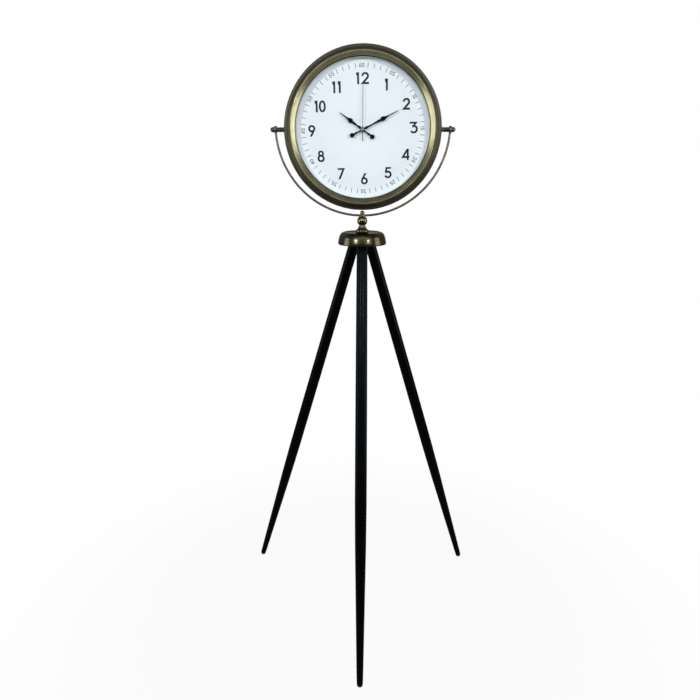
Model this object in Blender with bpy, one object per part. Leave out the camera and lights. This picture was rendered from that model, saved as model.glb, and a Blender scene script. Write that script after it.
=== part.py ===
"""A floor-standing tripod clock.

A round brass-rimmed clock head hangs on two side pivots in a thin rod yoke. The yoke is clamped
by an acorn nut on a turned brass stem, and the stem stands on a domed hub with three screwed-in
wooden legs. Inside the head are the dial, its board and a quartz movement with its wheel train.
Units are metres, +Z is up and the clock faces -Y.
"""

import math

import bmesh
import bpy
from mathutils import Matrix, Vector

# Clearance between two pieces that touch on the real clock
GAP = 0.0003
# How far a cutter runs past what it cuts
OVERRUN = 0.002

# Tripod
FOOT_CIRCLE_RADIUS = 0.344
LEG_TOP_CIRCLE_RADIUS = 0.0178
LEG_DIAMETER = 0.0276
LEG_SIDES = 14
LEG_SHAPE_SHARES = [
    (0.0, 0.51), (0.015, 0.555), (0.08, 0.64), (0.19, 0.78), (0.30, 0.93), (0.40, 1.0),
    (0.50, 1.0), (0.64, 0.99), (0.75, 0.97), (0.87, 0.948), (1.0, 0.905),
]
LEG_STUD_DIAMETER = 0.008
LEG_STUD_DEPTH = 0.026
FOOT_PAD_DIAMETER = 0.0134
FOOT_PAD_HEIGHT = 0.0045
FOOT_PAD_FACE_SHARE = 0.84
FOOT_PAD_EDGE_SHARE = 0.35

# Hub and stem, stacked on one threaded stud
SHEET = 0.0015
CAP_RADIUS = 0.0572
CAP_HEIGHT = 0.0287
CAP_RIM_RISE = 0.0018
CAP_RIM_SHARE = 0.757
CAP_OUTSIDE_SHARES = [
    (0.76, 0.0), (0.84, 0.05), (0.90, 0.17), (0.945, 0.34), (0.983, 0.66), (1.0, 0.87), (0.995, 0.96),
    (0.965, 1.0),
]
CAP_INSIDE_SHARES = [(0.945, 0.965), (0.972, 0.86), (0.945, 0.60), (0.90, 0.31), (0.845, 0.17)]
PLATE_THICKNESS = 0.0132
STUD_DIAMETER = 0.006
COLLAR_RADIUS = 0.0152
COLLAR_HEIGHT = 0.0070
COLLAR_EDGE_SHARES = [(0.93, 0.0), (1.0, 0.2), (1.0, 0.72), (0.9, 1.0)]
NECK_HEIGHT = 0.0112
NECK_TOP_RADIUS = 0.0075
NECK_FOOT_RADIUS = 0.0130
NECK_FLARE_POWER = 2.2
BALL_RADIUS = 0.0120
BALL_CAP_ANGLE = math.radians(45.8)
ACORN_RADIUS = 0.0061
ACORN_HEIGHT = 0.0095
ACORN_SHAPE_SHARES = [
    (1.0, 0.0), (1.0, 0.12), (0.9, 0.2), (0.85, 0.5), (0.8, 0.66), (0.62, 0.84), (0.34, 0.96),
]
ACORN_BORE_DEPTH_SHARE = 0.6

# Yoke
PIVOT_HEIGHT = 1.220
YOKE_RIM_SPACE = 0.013
YOKE_ROD_DIAMETER = 0.0052
YOKE_ROD_SIDES = 8
YOKE_ROD_STEPS = 32
EYE_RADIUS = 0.0082
EYE_THICKNESS = 0.0052
BOSS_RADIUS = 0.0078
BOSS_THICKNESS = 0.0048
BOSS_RISE = 0.0014

# Side pivots
PIVOT_STUD_DIAMETER = 0.006
SPACER_LENGTH = 0.024
SPACER_RADIUS = 0.0055
SPACER_RIB_SHARE = 0.84
SPACER_RIBS = 4
KNOB_RADIUS = 0.0058
KNOB_LENGTH = 0.0091
KNOB_SHAPE_SHARES = [(1.0, 0.0), (1.0, 0.3), (0.93, 0.55), (0.72, 0.8), (0.38, 0.96)]
KNOB_BORE_DEPTH_SHARE = 0.6
PIVOT_NUT_WIDTH = 0.010
PIVOT_NUT_THICKNESS = 0.005

# Clock head, all turned about the line from front to back
HEAD_RADIUS = 0.178
HEAD_SEGMENTS = 48
BEZEL_WIDTH = 0.0264
BEZEL_FRONT = 0.0240
BEZEL_DEPTH = 0.0178
BEZEL_LIP_WIDTH = 0.0074
BEZEL_OUTSIDE_SHARES = [
    (0.947, 1.0), (1.0, 0.92), (0.985, 0.80), (0.93, 0.755), (0.83, 0.745), (0.80, 0.65),
    (0.81, 0.54), (0.775, 0.30), (0.68, 0.118), (0.56, 0.05), (0.466, 0.0), (0.265, 0.298),
    (0.125, 0.466), (0.02, 0.54), (0.0, 0.62),
]
BEZEL_NOSE_SHARE = 0.023
BEZEL_SEAT_SHARE = 0.7135
BEZEL_INSIDE_SHARES = [(0.45, 0.15), (0.66, 0.26)]
BEZEL_SKIRT_TOP_SHARE = 0.55
GLASS_SEAT = 0.0089
GLASS_THICKNESS = 0.0025
SURROUND_DEPTH = 0.0137
SURROUND_TAPER = 0.0058
SURROUND_FLANGE = 0.0016
SURROUND_INSET = 0.0012
DIAL_THICKNESS = 0.001
BOARD_THICKNESS = 0.004
DRUM_FLANGE_WIDTH = 0.0110
DRUM_REAR_SPACE = 0.0008
REAR_COVER_INSET = 0.0012
REAR_WINDOW_MARGIN = 0.004
COVER_SCREWS = 4
COVER_SCREW_DIAMETER = 0.0035
COVER_SCREW_HEAD_DIAMETER = 0.0070
COVER_SCREW_HEAD_HEIGHT = 0.0020
COVER_SCREW_LENGTH = 0.0080

# Quartz movement
HOUSING_DEPTH = 0.0127
HOUSING_WALL = 0.0015
MOVEMENT_COVER_THICKNESS = 0.002
PARTITION_WALL = 0.0012
GASKET_THICKNESS = 0.001
GASKET_RADIUS = 0.013
BUSH_WALL = 0.0012
BUSH_REACH = 0.0107
BUSH_NUT_WIDTH = 0.012
BUSH_NUT_THICKNESS = 0.0022
BATTERY_RADIUS = 0.0071
BATTERY_LENGTH = 0.0505
BATTERY_NUB_RADIUS = 0.0028
BATTERY_NUB_LENGTH = 0.001
CONTACT_SIDE = 0.008
CONTACT_THICKNESS = 0.0006
WHEEL_THICKNESS = 0.001
WHEEL_SPACE = 0.0005
HOUR_PIPE_WALL = 0.0006
HOUR_PINION_RADIUS = 0.00192
MINUTE_PIPE_WALL = 0.0008
CANNON_PINION_RADIUS = 0.0024
CENTRE_WHEEL_RADIUS = 0.0080
SECONDS_ARBOR_RADIUS = 0.0005
SECONDS_WHEEL_RADIUS = 0.0070
REDUCTION_WHEEL_RADIUS = 0.0072
REDUCTION_ANGLE = math.radians(60)
SET_PINION_RADIUS = 0.0024
SET_KNOB_ANGLE = math.radians(100)
SET_SHAFT_RADIUS = 0.0015
SET_KNOB_RADIUS = 0.0060
SET_KNOB_HEIGHT = 0.0050
SET_KNOB_FLUTES = 12
SET_KNOB_FLUTE_SHARE = 0.9
IDLER_WHEEL_RADIUS = 0.0057
IDLER_PINION_RADIUS = 0.0014
IDLER_ANGLE = math.radians(160)
ROTOR_PINION_RADIUS = 0.00095
ROTOR_MAGNET_RADIUS = 0.0032
ROTOR_MAGNET_LENGTH = 0.004
COIL_RADIUS = 0.004
COIL_LENGTH = 0.022
COIL_CHEEK_SHARE = 0.12
COIL_CORE_SHARE = 0.8
CIRCUIT_BOARD_WIDTH = 0.016
CIRCUIT_BOARD_HEIGHT = 0.030
CIRCUIT_BOARD_THICKNESS = 0.001

# Hands, cut from sheet, as rows of distance along and half width as shares of the length
HAND_THICKNESS = 0.0008
HAND_SPACE = 0.0012
HOUR_HAND_LENGTH = 0.0632
MINUTE_HAND_LENGTH = 0.0885
SECOND_HAND_LENGTH = 0.098
SECOND_HAND_TAIL = 0.025
SECOND_HAND_WIDTH = 0.0010
SECOND_HUB_RADIUS = 0.0024
SECOND_HUB_STEP = 0.0003
HAND_HUB_RADIUS = 0.0050
HAND_BULGE_WIDTH = 0.0076
HAND_BALL_RADIUS = 0.0052
HAND_TAIL_LENGTH = 0.0266
HAND_ROUND_STEPS = 8
MINUTE_LEAF_SHARES = [
    (0.10, 0.17), (0.36, 0.27), (0.47, 0.44), (0.515, 0.46), (0.54, 0.26),
    (0.565, 0.66), (0.59, 0.97), (0.615, 1.0), (0.645, 0.8), (0.68, 0.38), (0.73, 0.17), (1.0, 0.05),
]
HOUR_LEAF_SHARES = [
    (0.12, 0.17), (0.30, 0.27), (0.41, 0.44), (0.455, 0.46), (0.48, 0.26),
    (0.51, 0.66), (0.54, 0.97), (0.57, 1.0), (0.61, 0.8), (0.66, 0.38), (0.72, 0.17), (1.0, 0.06),
]
HAND_TAIL_SHARES = [(0.2, 0.16), (0.42, 0.2), (0.5, 0.42), (0.58, 0.2), (1.0, 0.17)]
HOUR_HAND_ANGLE = math.radians(305.3)
MINUTE_HAND_ANGLE = math.radians(63.0)

# Places worked out from the sizes
tripod_y = FOOT_CIRCLE_RADIUS / 4
bore_radius = STUD_DIAMETER / 2 + GAP
pivot_bore_radius = PIVOT_STUD_DIAMETER / 2 + GAP
yoke_drop = HEAD_RADIUS + YOKE_RIM_SPACE
yoke_bottom = PIVOT_HEIGHT - yoke_drop
boss_top = yoke_bottom + BOSS_RISE
boss_bottom = boss_top - BOSS_THICKNESS
ball_top = boss_bottom - GAP
ball_height = 2 * BALL_RADIUS * math.sin(BALL_CAP_ANGLE)
neck_top = ball_top - ball_height - GAP
collar_top = neck_top - NECK_HEIGHT - GAP
cap_recess = collar_top - COLLAR_HEIGHT - GAP
cap_top = cap_recess + CAP_RIM_RISE
rim_radius = CAP_RADIUS * CAP_RIM_SHARE
recess_radius = rim_radius - CAP_RIM_RISE
plate_top = cap_recess - SHEET - GAP
plate_bottom = plate_top - PLATE_THICKNESS
leg_top = plate_bottom - GAP
leg_bottom = FOOT_PAD_HEIGHT + GAP

bezel_back = BEZEL_DEPTH - BEZEL_FRONT
bezel_seat = BEZEL_DEPTH * BEZEL_SEAT_SHARE - BEZEL_FRONT
skirt_top = BEZEL_DEPTH * BEZEL_SKIRT_TOP_SHARE - BEZEL_FRONT
opening_radius = HEAD_RADIUS - BEZEL_WIDTH
glass_radius = opening_radius + GLASS_SEAT
glass_front = bezel_seat + GAP
glass_back = glass_front + GLASS_THICKNESS
surround_front = glass_back + GAP
surround_back = surround_front + SURROUND_DEPTH
dial_front = surround_back + GAP
dial_back = dial_front + DIAL_THICKNESS
board_front = dial_back + GAP
board_back = board_front + BOARD_THICKNESS
gasket_back = board_back + GAP + GASKET_THICKNESS
housing_front = gasket_back + GAP
housing_back = housing_front + HOUSING_DEPTH
movement_cover_front = housing_back + GAP
movement_back = movement_cover_front + MOVEMENT_COVER_THICKNESS
flange_front = movement_back + DRUM_REAR_SPACE
flange_back = flange_front + SHEET
rear_cover_front = flange_back + GAP
rear_cover_back = rear_cover_front + SHEET
drum_front = skirt_top + GAP
drum_radius = HEAD_RADIUS - BEZEL_LIP_WIDTH
drum_bore = drum_radius - SHEET
yoke_half_width = drum_radius + SPACER_LENGTH + 2 * GAP + EYE_THICKNESS / 2
housing_side = BATTERY_LENGTH + 2 * (CONTACT_THICKNESS + 2 * GAP + HOUSING_WALL)

# Layers of the wheel train, from the front wall back
train_front = housing_front + HOUSING_WALL + GAP
hour_wheel_back = train_front + WHEEL_THICKNESS
cannon_front = hour_wheel_back + WHEEL_SPACE
cannon_back = cannon_front + WHEEL_THICKNESS
centre_wheel_front = cannon_back + WHEEL_SPACE
centre_wheel_back = centre_wheel_front + WHEEL_THICKNESS
train_back = housing_back
idler_wheel_front = train_back - WHEEL_THICKNESS - WHEEL_SPACE
seconds_wheel_back = idler_wheel_front - WHEEL_SPACE
seconds_wheel_front = seconds_wheel_back - WHEEL_THICKNESS

# Layers of the hands, from the dial forward
bush_front = housing_front - BUSH_REACH
bush_nut_back = dial_front - GAP
hour_hand_back = bush_front - HAND_SPACE
minute_hand_back = hour_hand_back - HAND_THICKNESS - HAND_SPACE
second_hand_back = minute_hand_back - HAND_THICKNESS - HAND_SPACE

# Pipes of the hands, one inside the other, and the bush round them
minute_pipe_bore = SECONDS_ARBOR_RADIUS + GAP
minute_pipe_radius = minute_pipe_bore + MINUTE_PIPE_WALL
hour_pipe_bore = minute_pipe_radius + GAP
hour_pipe_radius = hour_pipe_bore + HOUR_PIPE_WALL
bush_bore = hour_pipe_radius + GAP
bush_radius = bush_bore + BUSH_WALL

# Arbors of the train, across and up from the centre of the dial
reduction_distance = CANNON_PINION_RADIUS + REDUCTION_WHEEL_RADIUS + GAP
hour_wheel_radius = reduction_distance - GAP - HOUR_PINION_RADIUS
reduction_place = Vector((math.cos(REDUCTION_ANGLE), 0, math.sin(REDUCTION_ANGLE))) * reduction_distance
set_distance = REDUCTION_WHEEL_RADIUS + SET_PINION_RADIUS + GAP
set_place = reduction_place + Vector((math.cos(SET_KNOB_ANGLE), 0, math.sin(SET_KNOB_ANGLE))) * set_distance
idler_distance = SECONDS_WHEEL_RADIUS + IDLER_PINION_RADIUS + GAP
idler_place = Vector((math.cos(IDLER_ANGLE), 0, math.sin(IDLER_ANGLE))) * idler_distance
rotor_distance = IDLER_WHEEL_RADIUS + ROTOR_PINION_RADIUS + GAP
rotor_place = idler_place + Vector((math.cos(IDLER_ANGLE), 0, math.sin(IDLER_ANGLE))) * rotor_distance


def finish(name, colour, roughness, metallic=0.0):
    """A plain material for one kind of surface."""
    made = bpy.data.materials.new(name)
    made.use_nodes = True
    shader = made.node_tree.nodes["Principled BSDF"]
    shader.inputs["Base Color"].default_value = (*colour, 1.0)
    shader.inputs["Roughness"].default_value = roughness
    shader.inputs["Metallic"].default_value = metallic
    return made


def empty(name, place, parent=None):
    """A joint's axis: what turns about it is parented to it."""
    made = bpy.data.objects.new(name, None)
    bpy.context.scene.collection.objects.link(made)
    made.location = place
    made.parent = parent
    return made


def piece(name, mesh, surface, home, place=(0, 0, 0), turn=(0, 0, 0)):
    """Puts a mesh into the scene as one named piece."""
    made = bpy.data.objects.new(name, mesh)
    bpy.context.scene.collection.objects.link(made)
    made.parent = home
    made.location = place
    made.rotation_euler = turn
    if not mesh.materials:
        mesh.materials.append(surface)
    return made


def closed_mesh(name, bm):
    """Turns a bmesh into a mesh whose faces point out, smooth where it is round."""
    bmesh.ops.recalc_face_normals(bm, faces=bm.faces)
    mesh = bpy.data.meshes.new(name)
    bm.to_mesh(mesh)
    bm.free()
    mesh.shade_smooth()
    mesh.set_sharp_from_angle(angle=math.radians(35))
    return mesh


def turned_mesh(name, outline, axis="Z", segments=16):
    """Spins an outline of (radius, distance along the axis) into a solid of revolution."""
    bm = bmesh.new()
    spots = {
        "X": [(along, 0, radius) for radius, along in outline],
        "Y": [(radius, along, 0) for radius, along in outline],
        "Z": [(radius, 0, along) for radius, along in outline],
    }[axis]
    verts = [bm.verts.new(spot) for spot in spots]
    edges = [bm.edges.new(pair) for pair in zip(verts, verts[1:])]
    if outline[0][0] > 0:
        edges.append(bm.edges.new((verts[-1], verts[0])))
    turn_axis = Vector([float(letter == axis) for letter in "XYZ"])
    bmesh.ops.spin(
        bm, geom=verts + edges, cent=(0, 0, 0), axis=turn_axis, angle=math.tau, steps=segments,
        use_merge=True,
    )
    bmesh.ops.remove_doubles(bm, verts=bm.verts, dist=GAP / 1000)
    return closed_mesh(name, bm)


def turned(name, outline, surface, home, axis="Z", segments=16, place=(0, 0, 0)):
    return piece(name, turned_mesh(name, outline, axis, segments), surface, home, place)


def tube_outline(outer, bore, start, end):
    """The outline of a plain ring or tube."""
    return [(outer, start), (outer, end), (bore, end), (bore, start)]


def rod_outline(radius, start, end):
    """The outline of a solid round bar."""
    return [(0, start), (radius, start), (radius, end), (0, end)]


def block_mesh(name, low, high):
    """A block between two corners."""
    bm = bmesh.new()
    bmesh.ops.create_cube(bm, size=1)
    for vert in bm.verts:
        vert.co = [lo if part < 0 else hi for part, lo, hi in zip(vert.co, low, high)]
    return closed_mesh(name, bm)


def block(name, low, high, surface, home, place=(0, 0, 0)):
    return piece(name, block_mesh(name, low, high), surface, home, place)


def prism_mesh(name, corners, start, end):
    """A flat outline of (across, up) corners, given thickness from front to back."""
    bm = bmesh.new()
    face = bm.faces.new([bm.verts.new((across, start, up)) for across, up in corners])
    made = bmesh.ops.extrude_face_region(bm, geom=[face])
    moved = [part for part in made["geom"] if isinstance(part, bmesh.types.BMVert)]
    bmesh.ops.translate(bm, verts=moved, vec=(0, end - start, 0))
    return closed_mesh(name, bm)


def polygon(radius, sides, start=0.0):
    """Corners of a regular polygon."""
    angles = [start + math.tau * side / sides for side in range(sides)]
    return [(radius * math.cos(angle), radius * math.sin(angle)) for angle in angles]


def combine(target, mesh, operation, place=(0, 0, 0), turn=(0, 0, 0)):
    """Cuts a mesh out of a piece, or joins it on, and keeps the result as the piece's mesh."""
    tool = piece("tool", mesh, target.data.materials[0], target.parent, place, turn)
    tool.hide_render = True
    tool.display_type = "WIRE"
    step = target.modifiers.new(operation.lower(), "BOOLEAN")
    step.operation = operation
    step.solver = "EXACT"
    step.object = tool
    bpy.context.view_layer.update()
    evaluated = target.evaluated_get(bpy.context.evaluated_depsgraph_get())
    result = bpy.data.meshes.new_from_object(evaluated)
    target.modifiers.clear()
    target.data = result
    result.name = target.name
    result.set_sharp_from_angle(angle=math.radians(35))
    bpy.data.objects.remove(tool)


def cut(target, mesh, place=(0, 0, 0), turn=(0, 0, 0)):
    combine(target, mesh, "DIFFERENCE", place, turn)


def join(target, mesh, place=(0, 0, 0), turn=(0, 0, 0)):
    combine(target, mesh, "UNION", place, turn)


def dome_nut_outline(radius, height, shares, bore, bore_share, base=0.0, way=1):
    """A domed nut with a blind bore, standing on its base and pointing up or down the axis."""
    outside = [(radius * across, base + way * height * up) for across, up in shares]
    depth = base + way * height * bore_share
    return [(0, depth), (bore, depth), (bore, base), *outside, (0, base + way * height)]


def bore_mesh(radius, start, end, axis="Z", sides=12):
    """The cutter for a round hole, half a step round, so that no corner of it meets a seam."""
    overrun = math.copysign(OVERRUN, end - start)
    mesh = turned_mesh("bore", rod_outline(radius, start - overrun, end + overrun), axis, sides)
    mesh.transform(Matrix.Rotation(math.pi / sides, 4, axis))
    return mesh


def hex_nut(name, width, bore, start, end, home, axis):
    """A six-sided nut with a clear bore."""
    nut = turned(name, rod_outline(width / math.sqrt(3), start, end), steel, home, axis, 6)
    cut(nut, bore_mesh(bore, start, end, axis))


def leg_axis_point(height):
    """Where a leg's centre line stands at a height, leaning out along +X."""
    lean = (FOOT_CIRCLE_RADIUS - LEG_TOP_CIRCLE_RADIUS) / leg_top
    return Vector((FOOT_CIRCLE_RADIUS - lean * height, 0, height))


def along_leg_mesh(name, stations):
    """Rings round a leg's centre line: each station is (height, radius, level).

    A level ring lies in a level plane, as at a leg's cut ends, and any other is square to the leg.
    """
    bm = bmesh.new()
    way = (leg_axis_point(leg_top) - leg_axis_point(0)).normalized()
    side = Vector((0, 1, 0))
    out = side.cross(way)
    rings = []
    for height, radius, level in stations:
        centre = leg_axis_point(height)
        if radius == 0:
            rings.append([bm.verts.new(centre)])
            continue
        ring = []
        for across, up in polygon(radius, LEG_SIDES):
            spot = centre + out * across + side * up
            if level:
                spot += way * ((height - spot.z) / way.z)
            ring.append(bm.verts.new(spot))
        rings.append(ring)
    for low, high in zip(rings, rings[1:]):
        for step in range(LEG_SIDES):
            after = (step + 1) % LEG_SIDES
            if len(low) == 1:
                bm.faces.new((low[0], high[after], high[step]))
            elif len(high) == 1:
                bm.faces.new((low[step], low[after], high[0]))
            else:
                bm.faces.new((low[step], low[after], high[after], high[step]))
    return closed_mesh(name, bm)


def make_legs(home):
    """Three turned legs, each with the threaded stud that screws it to the hub and a foot pad."""
    length = leg_top - leg_bottom
    half = LEG_DIAMETER / 2
    stud_bore = LEG_STUD_DIAMETER / 2 + GAP
    bore_floor = leg_top - LEG_STUD_DEPTH
    outside = [(leg_bottom + length * up, half * wide, up in (0, 1)) for up, wide in LEG_SHAPE_SHARES]
    leg_mesh = along_leg_mesh(
        "leg",
        [(leg_bottom, 0, True), *outside, (leg_top, stud_bore, True), (bore_floor, stud_bore, False),
         (bore_floor, 0, False)],
    )
    stud_ends = (bore_floor + GAP, plate_top - GAP)
    stud_radius = LEG_STUD_DIAMETER / 2
    stud_mesh = along_leg_mesh(
        "leg_stud",
        [(stud_ends[0], 0, False), (stud_ends[0], stud_radius, False), (stud_ends[1], stud_radius, True),
         (stud_ends[1], 0, True)],
    )
    pad_radius = FOOT_PAD_DIAMETER / 2
    pad_edge = FOOT_PAD_HEIGHT * FOOT_PAD_EDGE_SHARE
    pad_outline = [
        (0, 0), (pad_radius * FOOT_PAD_FACE_SHARE, 0), (pad_radius, pad_edge),
        (pad_radius, FOOT_PAD_HEIGHT), (0, FOOT_PAD_HEIGHT),
    ]
    pad_mesh = turned_mesh("foot_pad", pad_outline, segments=LEG_SIDES)
    pad_mesh.transform(Matrix.Translation((leg_axis_point(leg_bottom).x, 0, 0)))
    for side, degrees in (("front", -90), ("right", 30), ("left", 150)):
        turn = (0, 0, math.radians(degrees))
        piece(f"leg_{side}", leg_mesh, lacquer, home, turn=turn)
        piece(f"leg_stud_{side}", stud_mesh, steel, home, turn=turn)
        piece(f"foot_pad_{side}", pad_mesh, rubber, home, turn=turn)


def make_hub(home):
    """The pressed hub cap, the plate under it that takes the legs, and the turned stem."""
    outside = [(CAP_RADIUS * wide, cap_top - CAP_HEIGHT * down) for wide, down in CAP_OUTSIDE_SHARES]
    inside = [(CAP_RADIUS * wide, cap_top - CAP_HEIGHT * down) for wide, down in CAP_INSIDE_SHARES]
    recess = [(bore_radius, cap_recess), (recess_radius, cap_recess), (rim_radius, cap_top)]
    ceiling = [(rim_radius, cap_recess - SHEET), (bore_radius, cap_recess - SHEET)]
    turned("hub_cap", recess + outside + inside + ceiling, antique_brass, home, segments=28)

    plate_outline = tube_outline(rim_radius, bore_radius, plate_bottom, plate_top)
    plate = turned("hub_plate", plate_outline, steel, home)
    drill_radius = LEG_STUD_DIAMETER / 2 + GAP
    drill_ends = (plate_bottom - OVERRUN, plate_top + OVERRUN)
    for degrees in (-90, 30, 150):
        drill = along_leg_mesh(
            "drill",
            [(drill_ends[0], 0, False), (drill_ends[0], drill_radius, False),
             (drill_ends[1], drill_radius, False), (drill_ends[1], 0, False)],
        )
        cut(plate, drill, turn=(0, 0, math.radians(degrees)))

    collar_bottom = cap_recess + GAP
    collar = [(COLLAR_RADIUS * wide, collar_bottom + COLLAR_HEIGHT * up) for wide, up in COLLAR_EDGE_SHARES]
    collar += [(bore_radius, collar_top), (bore_radius, collar_bottom)]
    turned("stem_collar", collar, antique_brass, home)

    neck_steps = 5
    neck_foot = neck_top - NECK_HEIGHT
    neck = []
    for step in range(neck_steps + 1):
        down = step / neck_steps
        radius = NECK_TOP_RADIUS + (NECK_FOOT_RADIUS - NECK_TOP_RADIUS) * down**NECK_FLARE_POWER
        neck.append((radius, neck_top - NECK_HEIGHT * down))
    turned("stem_neck", [*neck, (bore_radius, neck_foot), (bore_radius, neck_top)], antique_brass, home)

    ball_steps = 8
    ball_centre = ball_top - ball_height / 2
    ball = []
    for step in range(ball_steps + 1):
        angle = BALL_CAP_ANGLE * (1 - 2 * step / ball_steps)
        ball.append((BALL_RADIUS * math.cos(angle), ball_centre + BALL_RADIUS * math.sin(angle)))
    ball += [(bore_radius, ball[-1][1]), (bore_radius, ball[0][1])]
    turned("stem_ball", ball, antique_brass, home)

    acorn_base = boss_top + GAP
    acorn = dome_nut_outline(
        ACORN_RADIUS, ACORN_HEIGHT, ACORN_SHAPE_SHARES, bore_radius, ACORN_BORE_DEPTH_SHARE, acorn_base
    )
    turned("acorn_nut", acorn, antique_brass, home, segments=14)
    stud_top = acorn_base + ACORN_HEIGHT * ACORN_BORE_DEPTH_SHARE - GAP
    turned("centre_stud", rod_outline(STUD_DIAMETER / 2, plate_bottom, stud_top), steel, home, segments=12)


def make_yoke(home):
    """A bent steel rod with a flattened boss at its middle and an eye at each end."""
    rise = (yoke_half_width**2 - yoke_drop**2) / (2 * yoke_drop)
    bend = yoke_drop + rise
    end_angle = math.atan2(yoke_half_width, rise) - EYE_RADIUS / 2 / bend
    bm = bmesh.new()
    rings = []
    for step in range(YOKE_ROD_STEPS + 1):
        angle = end_angle * (2 * step / YOKE_ROD_STEPS - 1)
        outward = Vector((math.sin(angle), 0, -math.cos(angle)))
        centre = outward * bend + Vector((0, 0, rise))
        ring = [
            bm.verts.new(centre + outward * across + Vector((0, along, 0)))
            for across, along in polygon(YOKE_ROD_DIAMETER / 2, YOKE_ROD_SIDES)
        ]
        rings.append(ring)
    for low, high in zip(rings, rings[1:]):
        for step in range(YOKE_ROD_SIDES):
            after = (step + 1) % YOKE_ROD_SIDES
            bm.faces.new((low[step], low[after], high[after], high[step]))
    bm.faces.new(rings[0])
    bm.faces.new(reversed(rings[-1]))
    yoke = piece("yoke_arc", closed_mesh("yoke_arc", bm), dark_steel, home, (0, 0, PIVOT_HEIGHT))
    place = (0, 0, PIVOT_HEIGHT)
    inner = yoke_half_width - EYE_THICKNESS / 2
    outer = yoke_half_width + EYE_THICKNESS / 2
    for way in (-1, 1):
        join(yoke, turned_mesh("eye", rod_outline(EYE_RADIUS, way * inner, way * outer), "X", 16), place)
    boss = turned_mesh("boss", rod_outline(BOSS_RADIUS, boss_bottom, boss_top), "Z", 16)
    join(yoke, boss)
    flat = rod_outline(BOSS_RADIUS, boss_top, boss_top + YOKE_ROD_DIAMETER)
    cut(yoke, turned_mesh("flat", flat, "Z", 16))
    for way in (-1, 1):
        cut(yoke, bore_mesh(pivot_bore_radius, way * inner, way * outer, "X"), place)
    cut(yoke, bore_mesh(bore_radius, boss_bottom, boss_top))


def make_pivots(home):
    """On each side a threaded stud through the drum wall, its inner nut, ribbed spacer and knob."""
    eye_inner = yoke_half_width - EYE_THICKNESS / 2 - GAP
    eye_outer = yoke_half_width + EYE_THICKNESS / 2 + GAP
    spacer_start = drum_radius + GAP
    rib_pitch = (eye_inner - spacer_start) / SPACER_RIBS
    valley = SPACER_RADIUS * SPACER_RIB_SHARE
    nut_outer = drum_bore * math.cos(math.pi / HEAD_SEGMENTS) - GAP
    nut_inner = nut_outer - PIVOT_NUT_THICKNESS
    stud_inner = nut_inner - PIVOT_STUD_DIAMETER / 4
    knob_bore = KNOB_LENGTH * KNOB_BORE_DEPTH_SHARE
    for side, way in (("left", -1), ("right", 1)):
        ribs = []
        for rib in range(SPACER_RIBS):
            start = spacer_start + rib * rib_pitch
            ribs += [(valley, way * start), (SPACER_RADIUS, way * (start + rib_pitch / 4))]
            ribs += [(SPACER_RADIUS, way * (start + rib_pitch * 3 / 4))]
        ribs += [(valley, way * eye_inner)]
        spacer = [*ribs, (pivot_bore_radius, way * eye_inner), (pivot_bore_radius, way * spacer_start)]
        turned(f"pivot_spacer_{side}", spacer, dark_steel, home, "X", 12)
        knob = dome_nut_outline(
            KNOB_RADIUS, KNOB_LENGTH, KNOB_SHAPE_SHARES, pivot_bore_radius, KNOB_BORE_DEPTH_SHARE,
            way * eye_outer, way,
        )
        turned(f"pivot_knob_{side}", knob, dark_steel, home, "X", 12)
        stud = rod_outline(PIVOT_STUD_DIAMETER / 2, way * stud_inner, way * (eye_outer + knob_bore - GAP))
        turned(f"pivot_stud_{side}", stud, steel, home, "X", 14)
        nut_ends = (way * nut_inner, way * nut_outer)
        hex_nut(f"pivot_nut_{side}", PIVOT_NUT_WIDTH, pivot_bore_radius, *nut_ends, home, "X")


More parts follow.
